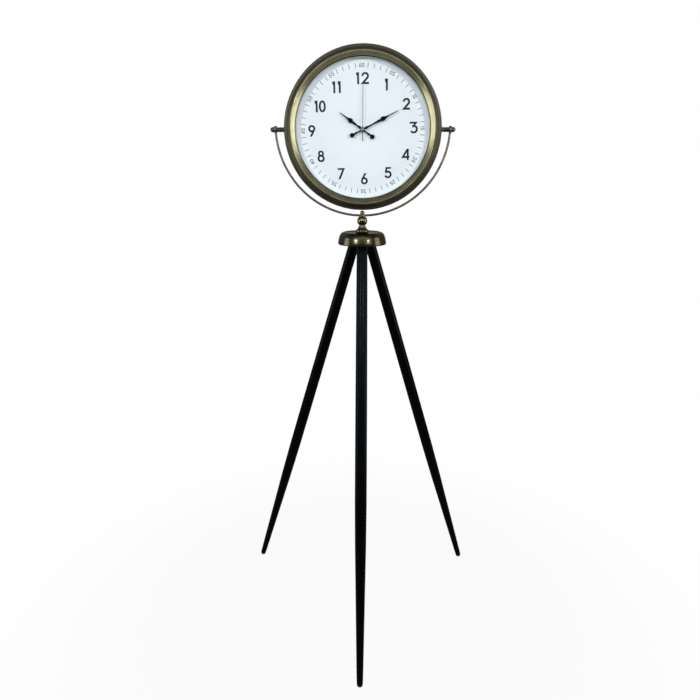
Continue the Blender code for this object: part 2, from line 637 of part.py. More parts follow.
def make_case(home):
    """The brass bezel, glass, dial surround, dial, board, drum and rear cover."""
    def spot(across, back):
        return (opening_radius + BEZEL_WIDTH * across, BEZEL_DEPTH * back - BEZEL_FRONT)

    skirt = drum_radius + GAP
    seat = glass_radius + 2 * GAP
    bezel = [(skirt, bezel_back), *(spot(*shares) for shares in BEZEL_OUTSIDE_SHARES)]
    bezel += [spot(BEZEL_NOSE_SHARE, BEZEL_SEAT_SHARE), (seat, bezel_seat)]
    bezel += [spot(*shares) for shares in BEZEL_INSIDE_SHARES]
    bezel += [(skirt, skirt_top)]
    turned("bezel", bezel, satin_brass, home, "Y", HEAD_SEGMENTS)
    pane = rod_outline(glass_radius, glass_front, glass_back)
    turned("front_glass", pane, glass, home, "Y", HEAD_SEGMENTS)

    mouth = opening_radius + SURROUND_INSET
    throat = mouth - SURROUND_TAPER
    flange_end = surround_front + SURROUND_FLANGE
    surround = [
        (mouth, surround_front), (glass_radius, surround_front), (glass_radius, flange_end),
        (mouth + SURROUND_FLANGE, flange_end), (throat + SURROUND_FLANGE, surround_back),
        (throat, surround_back),
    ]
    turned("dial_surround", surround, pale_paint, home, "Y", HEAD_SEGMENTS)
    bush_hole = bush_radius + GAP
    dial = tube_outline(glass_radius, bush_hole, dial_front, dial_back)
    turned("dial_plate", dial, white_dial, home, "Y", HEAD_SEGMENTS)
    board = tube_outline(drum_bore - GAP, bush_hole, board_front, board_back)
    turned("backing_board", board, fibreboard, home, "Y", HEAD_SEGMENTS)

    flange_bore = drum_radius - DRUM_FLANGE_WIDTH
    drum_outline = [
        (drum_radius, drum_front), (drum_radius, flange_back), (flange_bore, flange_back),
        (flange_bore, flange_front), (drum_bore, flange_front), (drum_bore, drum_front),
    ]
    drum = turned("case_drum", drum_outline, antique_brass, home, "Y", HEAD_SEGMENTS)
    cover_outline = rod_outline(drum_radius - REAR_COVER_INSET, rear_cover_front, rear_cover_back)
    cover = turned("rear_cover", cover_outline, black_steel, home, "Y", HEAD_SEGMENTS)
    for way in (-1, 1):
        cut(drum, bore_mesh(pivot_bore_radius, way * drum_bore, way * drum_radius, "X"))
    half = housing_side / 2 + REAR_WINDOW_MARGIN
    window_low = (-half, rear_cover_front - OVERRUN, -half)
    cut(cover, block_mesh("window", window_low, (half, rear_cover_back + OVERRUN, half)))

    circle = drum_radius - DRUM_FLANGE_WIDTH / 2
    hole = COVER_SCREW_DIAMETER / 2 + GAP
    head = COVER_SCREW_HEAD_DIAMETER / 2
    head_front = rear_cover_back + GAP
    screw = [
        (0, head_front + COVER_SCREW_HEAD_HEIGHT), (head / 2, head_front + COVER_SCREW_HEAD_HEIGHT),
        (head, head_front + COVER_SCREW_HEAD_HEIGHT / 3), (head, head_front),
        (COVER_SCREW_DIAMETER / 2, head_front), (COVER_SCREW_DIAMETER / 2, head_front - COVER_SCREW_LENGTH),
        (0, head_front - COVER_SCREW_LENGTH),
    ]
    screw_mesh = turned_mesh("cover_screw", screw, "Y", 10)
    for number in range(COVER_SCREWS):
        angle = math.tau * (number + 1 / 2) / COVER_SCREWS
        place = (circle * math.cos(angle), 0, circle * math.sin(angle))
        for holed in (drum, cover):
            cut(holed, bore_mesh(hole, flange_front, rear_cover_back, "Y", 8), place)
        piece(f"cover_screw_{number + 1}", screw_mesh, steel, home, place)


def make_movement(home):
    """The housing that stays still: its bush clamps the dial and board, and it holds the battery."""
    half = housing_side / 2
    room = half - HOUSING_WALL
    battery_up = BATTERY_RADIUS + GAP - room
    shelf = battery_up + BATTERY_RADIUS + GAP
    inside = housing_front + HOUSING_WALL
    corners = ((-half, housing_front, -half), (half, housing_back, half))
    housing = block("movement_housing", *corners, black_plastic, home)
    past = housing_back + OVERRUN
    cut(housing, block_mesh("train_room", (-room, inside, shelf + PARTITION_WALL), (room, past, room)))
    cut(housing, block_mesh("battery_room", (-room, inside, -room), (room, past, shelf)))
    join(housing, turned_mesh("bush", rod_outline(bush_radius, bush_front, inside), "Y", 16))
    cut(housing, bore_mesh(bush_bore, bush_front, inside, "Y"))
    gasket = tube_outline(GASKET_RADIUS, bush_radius + GAP, board_back + GAP, gasket_back)
    turned("bush_gasket", gasket, rubber, home, "Y")
    nut_front = bush_nut_back - BUSH_NUT_THICKNESS
    hex_nut("bush_nut", BUSH_NUT_WIDTH, bush_radius + GAP, nut_front, bush_nut_back, home, "Y")

    cover_low = (-half, movement_cover_front, shelf + PARTITION_WALL / 2)
    cover = block("movement_cover", cover_low, (half, movement_back, half), black_plastic, home)
    cut(cover, bore_mesh(SET_SHAFT_RADIUS + GAP, movement_cover_front, movement_back, "Y"), set_place)

    battery_back = inside + GAP + BATTERY_RADIUS
    shoulder = BATTERY_LENGTH / 2 - BATTERY_NUB_LENGTH
    battery = [
        (0, -BATTERY_LENGTH / 2), (BATTERY_RADIUS, -BATTERY_LENGTH / 2), (BATTERY_RADIUS, shoulder),
        (BATTERY_NUB_RADIUS, shoulder), (BATTERY_NUB_RADIUS, BATTERY_LENGTH / 2), (0, BATTERY_LENGTH / 2),
    ]
    turned("battery", battery, battery_label, home, "X", 16, (0, battery_back, battery_up))
    contact_inner = BATTERY_LENGTH / 2 + GAP
    for side, way in (("negative", -1), ("positive", 1)):
        ends = sorted((way * contact_inner, way * (contact_inner + CONTACT_THICKNESS)))
        low = (ends[0], battery_back - CONTACT_SIDE / 2, battery_up - CONTACT_SIDE / 2)
        high = (ends[1], battery_back + CONTACT_SIDE / 2, battery_up + CONTACT_SIDE / 2)
        block(f"battery_contact_{side}", low, high, steel, home)

    coil_up = room - COIL_RADIUS - GAP
    coil_back = train_back - COIL_RADIUS
    cheek = COIL_LENGTH * COIL_CHEEK_SHARE
    core = COIL_RADIUS * COIL_CORE_SHARE
    coil_end = set_place.x - SET_PINION_RADIUS - 2 * GAP
    coil_start = coil_end - COIL_LENGTH
    coil = [
        (0, coil_start), (COIL_RADIUS, coil_start), (COIL_RADIUS, coil_start + cheek),
        (core, coil_start + cheek), (core, coil_end - cheek), (COIL_RADIUS, coil_end - cheek),
        (COIL_RADIUS, coil_end), (0, coil_end),
    ]
    turned("drive_coil", coil, copper, home, "X", 12, (0, coil_back, coil_up))
    corner = room - GAP
    low = (corner - CIRCUIT_BOARD_WIDTH, train_back - CIRCUIT_BOARD_THICKNESS, corner - CIRCUIT_BOARD_HEIGHT)
    block("circuit_board", low, (corner, train_back, corner), circuit_green, home)


def make_train(home):
    """The wheels and arbors that turn. Each group turns about its own arbor's axis."""
    hour_axis = empty("hour_axis", (0, 0, 0), home)
    minute_axis = empty("minute_axis", (0, 0, 0), home)
    second_axis = empty("second_axis", (0, 0, 0), home)
    pipe_front = hour_hand_back - HAND_THICKNESS + GAP
    hour_wheel = [
        (hour_pipe_radius, pipe_front), (hour_pipe_radius, train_front), (hour_wheel_radius, train_front),
        (hour_wheel_radius, hour_wheel_back), (hour_pipe_bore, hour_wheel_back),
        (hour_pipe_bore, pipe_front),
    ]
    turned("hour_wheel", hour_wheel, white_plastic, hour_axis, "Y", 12)
    minute_pipe_front = minute_hand_back - HAND_THICKNESS + GAP
    centre_wheel = [
        (minute_pipe_radius, minute_pipe_front), (minute_pipe_radius, cannon_front),
        (CANNON_PINION_RADIUS, cannon_front),
        (CANNON_PINION_RADIUS, centre_wheel_front), (CENTRE_WHEEL_RADIUS, centre_wheel_front),
        (CENTRE_WHEEL_RADIUS, centre_wheel_back), (minute_pipe_bore, centre_wheel_back),
        (minute_pipe_bore, minute_pipe_front),
    ]
    turned("centre_wheel", centre_wheel, white_plastic, minute_axis, "Y", 12)
    arbor_front = second_hand_back - HAND_THICKNESS / 2
    seconds_wheel = [
        (0, arbor_front), (SECONDS_ARBOR_RADIUS, arbor_front), (SECONDS_ARBOR_RADIUS, seconds_wheel_front),
        (SECONDS_WHEEL_RADIUS, seconds_wheel_front), (SECONDS_WHEEL_RADIUS, seconds_wheel_back),
        (SECONDS_ARBOR_RADIUS, seconds_wheel_back), (SECONDS_ARBOR_RADIUS, train_back), (0, train_back),
    ]
    turned("seconds_wheel", seconds_wheel, white_plastic, second_axis, "Y", 12)

    reduction_axis = empty("reduction_axis", reduction_place, home)
    reduction = [
        (0, train_front), (HOUR_PINION_RADIUS, train_front), (HOUR_PINION_RADIUS, cannon_front),
        (REDUCTION_WHEEL_RADIUS, cannon_front), (REDUCTION_WHEEL_RADIUS, cannon_back), (0, cannon_back),
    ]
    turned("reduction_wheel", reduction, white_plastic, reduction_axis, "Y", 12)
    idler_axis = empty("idler_axis", idler_place, home)
    idler = [
        (0, seconds_wheel_front), (IDLER_PINION_RADIUS, seconds_wheel_front),
        (IDLER_PINION_RADIUS, idler_wheel_front), (IDLER_WHEEL_RADIUS, idler_wheel_front),
        (IDLER_WHEEL_RADIUS, idler_wheel_front + WHEEL_THICKNESS),
        (SECONDS_ARBOR_RADIUS, idler_wheel_front + WHEEL_THICKNESS), (SECONDS_ARBOR_RADIUS, train_back),
        (0, train_back),
    ]
    turned("idler_wheel", idler, white_plastic, idler_axis, "Y", 12)
    rotor_axis = empty("rotor_axis", rotor_place, home)
    magnet_front = seconds_wheel_front - ROTOR_MAGNET_LENGTH
    rotor = [
        (0, train_front), (SECONDS_ARBOR_RADIUS, train_front), (SECONDS_ARBOR_RADIUS, magnet_front),
        (ROTOR_MAGNET_RADIUS, magnet_front), (ROTOR_MAGNET_RADIUS, seconds_wheel_front),
        (ROTOR_PINION_RADIUS, seconds_wheel_front), (ROTOR_PINION_RADIUS, train_back), (0, train_back),
    ]
    turned("stepping_rotor", rotor, steel, rotor_axis, "Y", 12)

    set_axis = empty("set_axis", set_place, home)
    knob_front = movement_back + GAP
    knob_corners = []
    for step, corner in enumerate(polygon(SET_KNOB_RADIUS, 2 * SET_KNOB_FLUTES)):
        share = SET_KNOB_FLUTE_SHARE if step % 2 else 1
        knob_corners.append((corner[0] * share, corner[1] * share))
    knob_mesh = prism_mesh("set_knob", knob_corners, knob_front, knob_front + SET_KNOB_HEIGHT)
    knob = piece("set_knob", knob_mesh, white_plastic, set_axis)
    shaft = [
        (0, cannon_front), (SET_PINION_RADIUS, cannon_front), (SET_PINION_RADIUS, cannon_back),
        (SET_SHAFT_RADIUS, cannon_back), (SET_SHAFT_RADIUS, knob_front + SET_KNOB_HEIGHT / 2),
        (0, knob_front + SET_KNOB_HEIGHT / 2),
    ]
    join(knob, turned_mesh("shaft", shaft, "Y", 12))
    return hour_axis, minute_axis, second_axis


def hand_mesh(name, length, leaf, tail, discs):
    """A hand cut from sheet, pointing up: strips and discs along one centre line."""
    def half_width(along):
        wide = 0.0
        for shares, reach in ((leaf, length), (tail, -HAND_TAIL_LENGTH)):
            rows = [(0, shares[0][1]), *shares]
            for (near, low), (far, high) in zip(rows, rows[1:]):
                here = along / reach
                if near <= here <= far:
                    part = (here - near) / (far - near)
                    wide = max(wide, (low + (high - low) * part) * HAND_BULGE_WIDTH / 2)
        for centre, radius in discs:
            if abs(along - centre) < radius:
                wide = max(wide, math.sqrt(radius**2 - (along - centre) ** 2))
        return wide

    stations = {length * share for share, _ in leaf} | {-HAND_TAIL_LENGTH * share for share, _ in tail}
    for centre, radius in discs:
        for step in range(HAND_ROUND_STEPS + 1):
            stations.add(centre - radius * math.cos(math.pi * step / HAND_ROUND_STEPS))
    lowest = min(centre - radius for centre, radius in discs)
    rows = sorted(along for along in stations if along > lowest + GAP / 10)
    right = [(half_width(along), along) for along in rows]
    corners = [(0, lowest), *right, *((-wide, along) for wide, along in reversed(right))]
    return prism_mesh(name, corners, -HAND_THICKNESS, 0)


def make_hands(hour_axis, minute_axis, second_axis):
    """The three hands on their pipes and arbor, set to about ten past ten."""
    discs = [(0, HAND_HUB_RADIUS), (-HAND_TAIL_LENGTH, HAND_BALL_RADIUS)]
    hour = (HOUR_HAND_LENGTH, HOUR_LEAF_SHARES, hour_pipe_radius, hour_hand_back, HOUR_HAND_ANGLE)
    minute = (
        MINUTE_HAND_LENGTH, MINUTE_LEAF_SHARES, minute_pipe_radius, minute_hand_back, MINUTE_HAND_ANGLE,
    )
    for name, axis, sizes in (("hour_hand", hour_axis, hour), ("minute_hand", minute_axis, minute)):
        length, leaf, pipe, back, angle = sizes
        mesh = hand_mesh(name, length, leaf, HAND_TAIL_SHARES, discs)
        hand = piece(name, mesh, black_steel, axis, (0, back, 0), (0, angle, 0))
        cut(hand, bore_mesh(pipe + GAP, -HAND_THICKNESS, 0, "Y"), (0, back, 0))
    half = SECOND_HAND_WIDTH / 2
    front = second_hand_back - HAND_THICKNESS
    low = (-half, front, -SECOND_HAND_TAIL)
    high = (half, second_hand_back, SECOND_HAND_LENGTH)
    second = block("second_hand", low, high, grey_steel, second_axis)
    hub = rod_outline(SECOND_HUB_RADIUS, front - SECOND_HUB_STEP, second_hand_back + SECOND_HUB_STEP)
    join(second, turned_mesh("hub", hub, "Y", 16))
    hole_end = second_hand_back - HAND_THICKNESS / 2 - GAP
    hole = rod_outline(SECONDS_ARBOR_RADIUS + GAP, hole_end, second_hand_back + OVERRUN)
    cut(second, turned_mesh("bore", hole, "Y", 10))


for old in list(bpy.data.objects):
    bpy.data.objects.remove(old)

antique_brass = finish("antique_brass", (0.13, 0.11, 0.055), 0.28, 1.0)
satin_brass = finish("satin_brass", (0.42, 0.38, 0.2), 0.36, 1.0)
dark_steel = finish("dark_steel", (0.06, 0.06, 0.055), 0.4, 1.0)
black_steel = finish("black_steel", (0.012, 0.012, 0.013), 0.45)
grey_steel = finish("grey_steel", (0.12, 0.12, 0.13), 0.4, 1.0)
steel = finish("steel", (0.5, 0.5, 0.5), 0.35, 1.0)
lacquer = finish("black_lacquer", (0.008, 0.009, 0.012), 0.3)
rubber = finish("rubber", (0.02, 0.02, 0.02), 0.8)
glass = finish("glass", (0.9, 0.95, 0.95), 0.03)
pale_paint = finish("pale_paint", (0.55, 0.58, 0.6), 0.5)
white_dial = finish("white_dial", (0.85, 0.9, 0.94), 0.6)
fibreboard = finish("fibreboard", (0.3, 0.2, 0.12), 0.8)
black_plastic = finish("black_plastic", (0.02, 0.02, 0.022), 0.5)
white_plastic = finish("white_plastic", (0.75, 0.75, 0.72), 0.45)
battery_label = finish("battery_label", (0.1, 0.25, 0.5), 0.35)
copper = finish("copper", (0.6, 0.25, 0.1), 0.35, 1.0)
circuit_green = finish("circuit_green", (0.03, 0.2, 0.08), 0.5)

tripod = empty("tripod_axis", (0, tripod_y, 0))
yoke_axis = empty("yoke_axis", (0, 0, 0), tripod)
head_axis = empty("head_axis", (0, 0, PIVOT_HEIGHT), yoke_axis)
make_legs(tripod)
make_hub(tripod)
make_yoke(yoke_axis)
make_pivots(head_axis)
make_case(head_axis)
make_movement(head_axis)
make_hands(*make_train(head_axis))
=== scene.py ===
import math

import bmesh
import bpy
from mathutils import Matrix, Vector
from mathutils.geometry import delaunay_2d_cdt


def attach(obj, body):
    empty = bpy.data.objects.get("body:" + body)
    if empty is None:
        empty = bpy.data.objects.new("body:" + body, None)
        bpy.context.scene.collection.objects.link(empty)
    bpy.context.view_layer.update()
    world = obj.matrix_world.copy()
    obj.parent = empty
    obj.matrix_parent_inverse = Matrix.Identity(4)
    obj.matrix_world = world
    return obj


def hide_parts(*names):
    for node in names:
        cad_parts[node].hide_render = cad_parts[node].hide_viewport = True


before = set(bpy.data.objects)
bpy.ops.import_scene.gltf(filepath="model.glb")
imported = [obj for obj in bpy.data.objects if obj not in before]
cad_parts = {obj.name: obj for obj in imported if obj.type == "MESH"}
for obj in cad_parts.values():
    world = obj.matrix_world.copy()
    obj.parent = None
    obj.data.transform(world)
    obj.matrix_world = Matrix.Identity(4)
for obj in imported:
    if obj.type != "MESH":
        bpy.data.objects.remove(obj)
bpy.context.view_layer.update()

# Camera: it stands a step and a half in front of the clock at chest height and looks down a
# little, so the head is seen nearly straight on and the legs run down to the foot of the picture.
lens = bpy.data.cameras.new("camera")
lens.sensor_width = 36
lens.lens = 33.096
camera = bpy.data.objects.new("camera", lens)
camera.location = (0, -1.454, 1.150)
camera.rotation_euler = (math.radians(90 - 16.30), 0, math.radians(1.07))
bpy.context.scene.collection.objects.link(camera)
bpy.context.scene.camera = camera
bpy.context.scene.view_settings.view_transform = "Standard"


# Studio: a board floor seen as white, a low soft box square on to each side of the head, and two
# small lamps further forward that light the dial and put twin glints on the round metal parts.

def add_node(tree, kind, inputs=None, **settings):
    """Adds a node with its settings. Each input is a plain value or another node's output."""
    node = tree.nodes.new(kind)
    for name, value in settings.items():
        setattr(node, name, value)
    for name, value in (inputs or {}).items():
        if isinstance(value, bpy.types.NodeSocket):
            tree.links.new(value, node.inputs[name])
        else:
            node.inputs[name].default_value = value
    return node


def arithmetic(tree, operation, first, second=0.0):
    return add_node(tree, "ShaderNodeMath", {0: first, 1: second}, operation=operation).outputs[0]


def times(tree, first, second):
    return arithmetic(tree, "MULTIPLY", first, second)


def between(tree, value, low, high, start=0.0, end=1.0):
    """Eases from start to end as a value goes from low to high."""
    limits = {"Value": value, "From Min": low, "From Max": high, "To Min": start, "To Max": end}
    return add_node(tree, "ShaderNodeMapRange", limits, interpolation_type="SMOOTHSTEP").outputs[0]


def places(tree):
    """Where each spot of a piece is, in metres, in the piece's own frame."""
    return add_node(tree, "ShaderNodeTexCoord").outputs["Object"]


def mixed_shader(tree, share, first, second):
    """A shader between two shaders."""
    return add_node(tree, "ShaderNodeMixShader", {0: share, 1: first.outputs[0], 2: second.outputs[0]})


def seen_white(tree):
    """Whether a ray comes from the camera, straight or through glass but not by a reflection."""
    ray = add_node(tree, "ShaderNodeLightPath").outputs
    straight = arithmetic(tree, "LESS_THAN", ray["Glossy Depth"], 0.5)
    through = times(tree, ray["Is Transmission Ray"], straight)
    return arithmetic(tree, "MAXIMUM", ray["Is Camera Ray"], through)


floor_bm = bmesh.new()
bmesh.ops.create_circle(floor_bm, cap_ends=True, segments=96, radius=9)
floor_mesh = bpy.data.meshes.new("floor")
floor_bm.to_mesh(floor_mesh)
floor_bm.free()
floor = bpy.data.objects.new("floor", floor_mesh)
bpy.context.scene.collection.objects.link(floor)

floor_board = bpy.data.materials.new("floor_board")
floor_board.use_nodes = True
tree = floor_board.node_tree
board_shader = tree.nodes["Principled BSDF"]
board_shader.inputs["Roughness"].default_value = 0.9
board_shader.inputs["Specular IOR Level"].default_value = 0.2
distance = add_node(tree, "ShaderNodeVectorMath", {0: places(tree)}, operation="LENGTH").outputs["Value"]
tree.links.new(between(tree, distance, 0.80, 2.40, 0.28, 0.05), board_shader.inputs["Base Color"])
whiteness = times(tree, seen_white(tree), between(tree, distance, 0.45, 1.1, 0.94, 1.0))
glow = add_node(tree, "ShaderNodeEmission", {"Color": (1, 1, 1, 1), "Strength": 1.0})
shown = mixed_shader(tree, whiteness, board_shader, glow)
tree.links.new(shown.outputs[0], tree.nodes["Material Output"].inputs["Surface"])
floor_mesh.materials.append(floor_board)

studio = bpy.data.worlds.new("studio")
bpy.context.scene.world = studio
studio.use_nodes = True
tree = studio.node_tree
soft = tree.nodes["Background"]
soft.inputs["Color"].default_value = (1, 1, 1, 1)
direction = add_node(tree, "ShaderNodeTexCoord").outputs["Generated"]
facing = add_node(tree, "ShaderNodeSeparateXYZ", {0: direction}).outputs
front_or_back = arithmetic(tree, "ABSOLUTE", facing["Y"])
tree.links.new(between(tree, front_or_back, 0.1, 0.95, 0.21, 0.92), soft.inputs["Strength"])
before = between(tree, facing["Y"], -0.74, -0.42, 0.60, 0.05)
before = times(tree, before, between(tree, facing["Z"], 0.10, 0.80, 0.05, 3.9))
behind = between(tree, facing["Y"], 0.0, 0.5, 0.0, 0.42)
overhead = between(tree, facing["Z"], 0.82, 0.94, 1.0, 0.4)
around_it = times(tree, arithmetic(tree, "ADD", before, behind), overhead)
mirrored = add_node(tree, "ShaderNodeBackground", {"Strength": around_it})
white = add_node(tree, "ShaderNodeBackground", {"Color": (1, 1, 1, 1), "Strength": 1.0})
mirrored.inputs["Color"].default_value = (1, 1, 1, 1)
ray = add_node(tree, "ShaderNodeLightPath").outputs
in_metal = mixed_shader(tree, ray["Is Glossy Ray"], soft, mirrored)
all_rays = mixed_shader(tree, seen_white(tree), in_metal, white)
tree.links.new(all_rays.outputs[0], tree.nodes["World Output"].inputs["Surface"])

head_middle = Vector((0, 0.086, 1.220))


def add_lamp(name, azimuth, elevation, away, wide, tall, watts):
    """A box lamp, or a round one where it is as wide as tall, turned to the middle of the head."""
    turn, lift = math.radians(azimuth), math.radians(elevation)
    way = Vector((math.sin(turn) * math.cos(lift), -math.cos(turn) * math.cos(lift), math.sin(lift)))
    lamp_data = bpy.data.lights.new(name, "AREA")
    lamp_data.shape = "ELLIPSE" if wide == tall else "RECTANGLE"
    lamp_data.size = wide
    lamp_data.size_y = tall
    lamp_data.energy = watts
    lamp = bpy.data.objects.new(name, lamp_data)
    lamp.location = head_middle + way * away
    lamp.rotation_euler = way.to_track_quat("Z", "Y").to_euler()
    bpy.context.scene.collection.objects.link(lamp)


for side, way, low, tall, watts in (("left", -1, -6, 1.5, 15), ("right", 1, -3, 1.65, 18)):
    add_lamp(f"soft_box_{side}", way * 80, low, away=1.9, wide=0.85, tall=tall, watts=watts)
    add_lamp(f"small_lamp_{side}", way * 31, 14, away=2.5, wide=0.16, tall=0.16, watts=20)


# Foot pads: three moulded black rubber discs, one stuck under each leg. They are dull, clouded
# with a little grey, and slightly rounded by the mould.
tripod_middle = Vector((0, 0.086, 0))
tripod_sides = (("front", -90), ("right", 30), ("left", 150))
foot_circle = 0.344
leg_lean = 0.33501
leg_ends = (0.0048, 0.9737)
pad_radius, pad_height = 0.0067, 0.0045


def rounded_outline(outline, soft_edge, steps=4, gentle=55):
    """Draws an outline again with its gentle turns as one flowing curve and its corners rounded."""
    made = []
    whole = outline[0][0] > 0
    for number, spot in enumerate(outline):
        corner = Vector(spot)
        at_end = not whole and number in (0, len(outline) - 1)
        into = corner - Vector(outline[number - 1])
        out = Vector(outline[(number + 1) % len(outline)]) - corner
        turn = 0 if at_end else math.degrees(into.angle(out, 0))
        if turn < 2:
            made.append((corner.x, corner.y))
            continue
        limit = math.inf if turn < gentle else soft_edge
        start = corner - into.normalized() * min(into.length / 2, limit)
        end = corner + out.normalized() * min(out.length / 2, limit)
        for step in range(steps + 1):
            part = step / steps
            bent = start * (1 - part) ** 2 + corner * 2 * part * (1 - part) + end * part**2
            made.append((bent.x, bent.y))
    return made


def smooth_mesh(name, bm, sharp=38):
    """Makes the finished mesh, smooth but for edges sharper than so many degrees."""
    bmesh.ops.remove_doubles(bm, verts=bm.verts, dist=1e-7)
    bmesh.ops.recalc_face_normals(bm, faces=bm.faces)
    mesh = bpy.data.meshes.new(name)
    bm.to_mesh(mesh)
    bm.free()
    mesh.shade_smooth()
    mesh.set_sharp_from_angle(angle=math.radians(sharp))
    return mesh


def join_rings(bm, rings, whole):
    """Faces between rings of corners, one after another. A ring of one corner is a tip."""
    pairs = list(zip(rings, rings[1:]))
    if whole:
        pairs.append((rings[-1], rings[0]))
    for low, high in pairs:
        count = max(len(low), len(high))
        for step in range(count if count > 1 else 0):
            after = (step + 1) % count
            if len(low) == 1:
                bm.faces.new((low[0], high[after], high[step]))
            elif len(high) == 1:
                bm.faces.new((low[step], low[after], high[0]))
            else:
                bm.faces.new((low[step], low[after], high[after], high[step]))


def turned_mesh(name, outline, axis, middle, sides):
    """Turns an outline of (radius, place along the axis) round an axis through the middle."""
    bm = bmesh.new()
    rings = []
    for radius, along in outline:
        ring = []
        for step in range(sides if radius > 0 else 1):
            angle = math.tau * step / sides
            across, up = radius * math.cos(angle), radius * math.sin(angle)
            spot = {"X": (along, across, up), "Y": (across, along, up), "Z": (across, up, along)}[axis]
            ring.append(bm.verts.new(Vector(spot) + Vector(middle)))
        rings.append(ring)
    join_rings(bm, rings, outline[0][0] > 0)
    return smooth_mesh(name, bm)


def fit(name, mesh, finish, body, slot, *nodes):
    """Puts a finished piece on the clock: it moves with a body and stands for its plain solids."""
    made = bpy.data.objects.new(name, mesh)
    bpy.context.scene.collection.objects.link(made)
    if not mesh.materials:
        mesh.materials.append(finish)
    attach(made, body)
    if nodes:
        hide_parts(*nodes)


def fit_turned(name, outline, axis, middle, sides, *fitting):
    """Turns an outline and fits it. The fitting is its finish, body, slot (not used) and plain solids."""
    fit(name, turned_mesh(name, outline, axis, middle, sides), *fitting)


def new_finish(name, roughness, metallic=0.0, specular=0.5):
    """A material to be worked up, with its node tree and its shader."""
    made = bpy.data.materials.new(name)
    made.use_nodes = True
    shader = made.node_tree.nodes["Principled BSDF"]
    shader.inputs["Roughness"].default_value = roughness
    shader.inputs["Metallic"].default_value = metallic
    shader.inputs["Specular IOR Level"].default_value = specular
    return made, made.node_tree, shader


def new_effect(name, takes, gives):
    """An empty group of nodes with named values in and out."""
    group = bpy.data.node_groups.new(name, "ShaderNodeTree")
    for label, kind, value in takes:
        socket = group.interface.new_socket(label, in_out="INPUT", socket_type=kind)
        if value is not None:
            socket.default_value = value
    for label in gives:
        group.interface.new_socket(label, in_out="OUTPUT", socket_type="NodeSocketFloat")
    start = group.nodes.new("NodeGroupInput")
    end = group.nodes.new("NodeGroupOutput")
    return group, start.outputs, end.inputs


def effect(tree, group, inputs=None):
    return add_node(tree, "ShaderNodeGroup", inputs, node_tree=group).outputs


def noise(tree, place, scale, detail=3.0, roughness=0.55):
    values = {"Vector": place, "Scale": scale, "Detail": detail, "Roughness": roughness}
    return add_node(tree, "ShaderNodeTexNoise", values).outputs["Fac"]


def mixed(tree, share, first, second):
    """A colour between two colours."""
    node = add_node(tree, "ShaderNodeMix", data_type="RGBA")
    for socket, value in ((node.inputs[0], share), (node.inputs[6], first), (node.inputs[7], second)):
        if isinstance(value, bpy.types.NodeSocket):
            tree.links.new(value, socket)
        else:
            socket.default_value = (*value, 1) if isinstance(value, tuple) else value
    return node.outputs[2]


def work_up(tree, shader, colour, roughness, height=None, depth=0.0):
    """Feeds a finish its colour and roughness, and a height as a bump of so many metres."""
    tree.links.new(colour, shader.inputs["Base Color"])
    tree.links.new(roughness, shader.inputs["Roughness"])
    if height is not None:
        bump = add_node(tree, "ShaderNodeBump", {"Height": height, "Distance": depth, "Strength": 1.0})
        tree.links.new(bump.outputs[0], shader.inputs["Normal"])


# Moulded and painted skins: fine pits and grains, with a slow cloudiness over them
skin, skin_in, skin_out = new_effect(
    "moulded_skin",
    [("Place", "NodeSocketVector", None), ("Grains per Metre", "NodeSocketFloat", 1500.0),
     ("Clouds per Metre", "NodeSocketFloat", 30.0)],
    ["Grain", "Cloud"],
)
fine = noise(skin, skin_in["Place"], skin_in["Grains per Metre"], 2.0, 0.6)
slow = noise(skin, skin_in["Place"], skin_in["Clouds per Metre"], 4.0, 0.6)
skin.links.new(between(skin, fine, 0.3, 0.7), skin_out["Grain"])
skin.links.new(between(skin, slow, 0.32, 0.68), skin_out["Cloud"])


def skin_marks(tree, place, grains, clouds=30.0):
    values = {"Place": place, "Grains per Metre": grains, "Clouds per Metre": clouds}
    return effect(tree, skin, values)


def moulded(name, colour, worn, roughness, grains, depth, specular=0.5):
    """A moulded or painted finish: its colour clouds over to the worn one and its skin is grained."""
    made, tree, shader = new_finish(name, roughness, 0.0, specular)
    marks = skin_marks(tree, places(tree), grains)
    clouded = mixed(tree, marks["Cloud"], colour, worn)
    dull = between(tree, marks["Grain"], 0, 1, roughness - 0.05, roughness + 0.08)
    work_up(tree, shader, clouded, dull, marks["Grain"], depth)
    return made


black_rubber = moulded(
    "black_rubber", (0.016, 0.016, 0.017), (0.035, 0.034, 0.033),
    roughness=0.75, grains=1800, depth=0.00006,
)
pad_outline = [
    (0, 0), (pad_radius * 0.86, 0), (pad_radius, pad_height * 0.35), (pad_radius, pad_height),
    (0, pad_height),
]
pad_outline = rounded_outline(pad_outline, soft_edge=0.0006, gentle=40)
for side, degrees in tripod_sides:
    reach = foot_circle - leg_lean * leg_ends[0]
    turn = math.radians(degrees)
    spot = tripod_middle + Vector((math.cos(turn), math.sin(turn), 0)) * reach
    fit_turned(
        f"foot_{side}", pad_outline, "Z", spot, 48, black_rubber, "tripod", "rubber", f"foot_pad_{side}"
    )


# Legs: three hardwood spindles turned on a lathe, thickest about halfway up and thin at the
# foot, sprayed with black lacquer that lets a trace of the grain through.
leg_half = 0.0138
leg_widths = [
    (0.0, 0.51), (0.015, 0.555), (0.08, 0.64), (0.19, 0.78), (0.30, 0.93), (0.40, 1.0),
    (0.50, 1.0), (0.64, 0.99), (0.75, 0.97), (0.87, 0.948), (1.0, 0.905),
]
leg_sides, level_zone = 56, 0.012


def leg_point(height):
    """Where a leg's centre line is at a height, for a leg that leans out along X."""
    return Vector((foot_circle - leg_lean * height, 0, height))


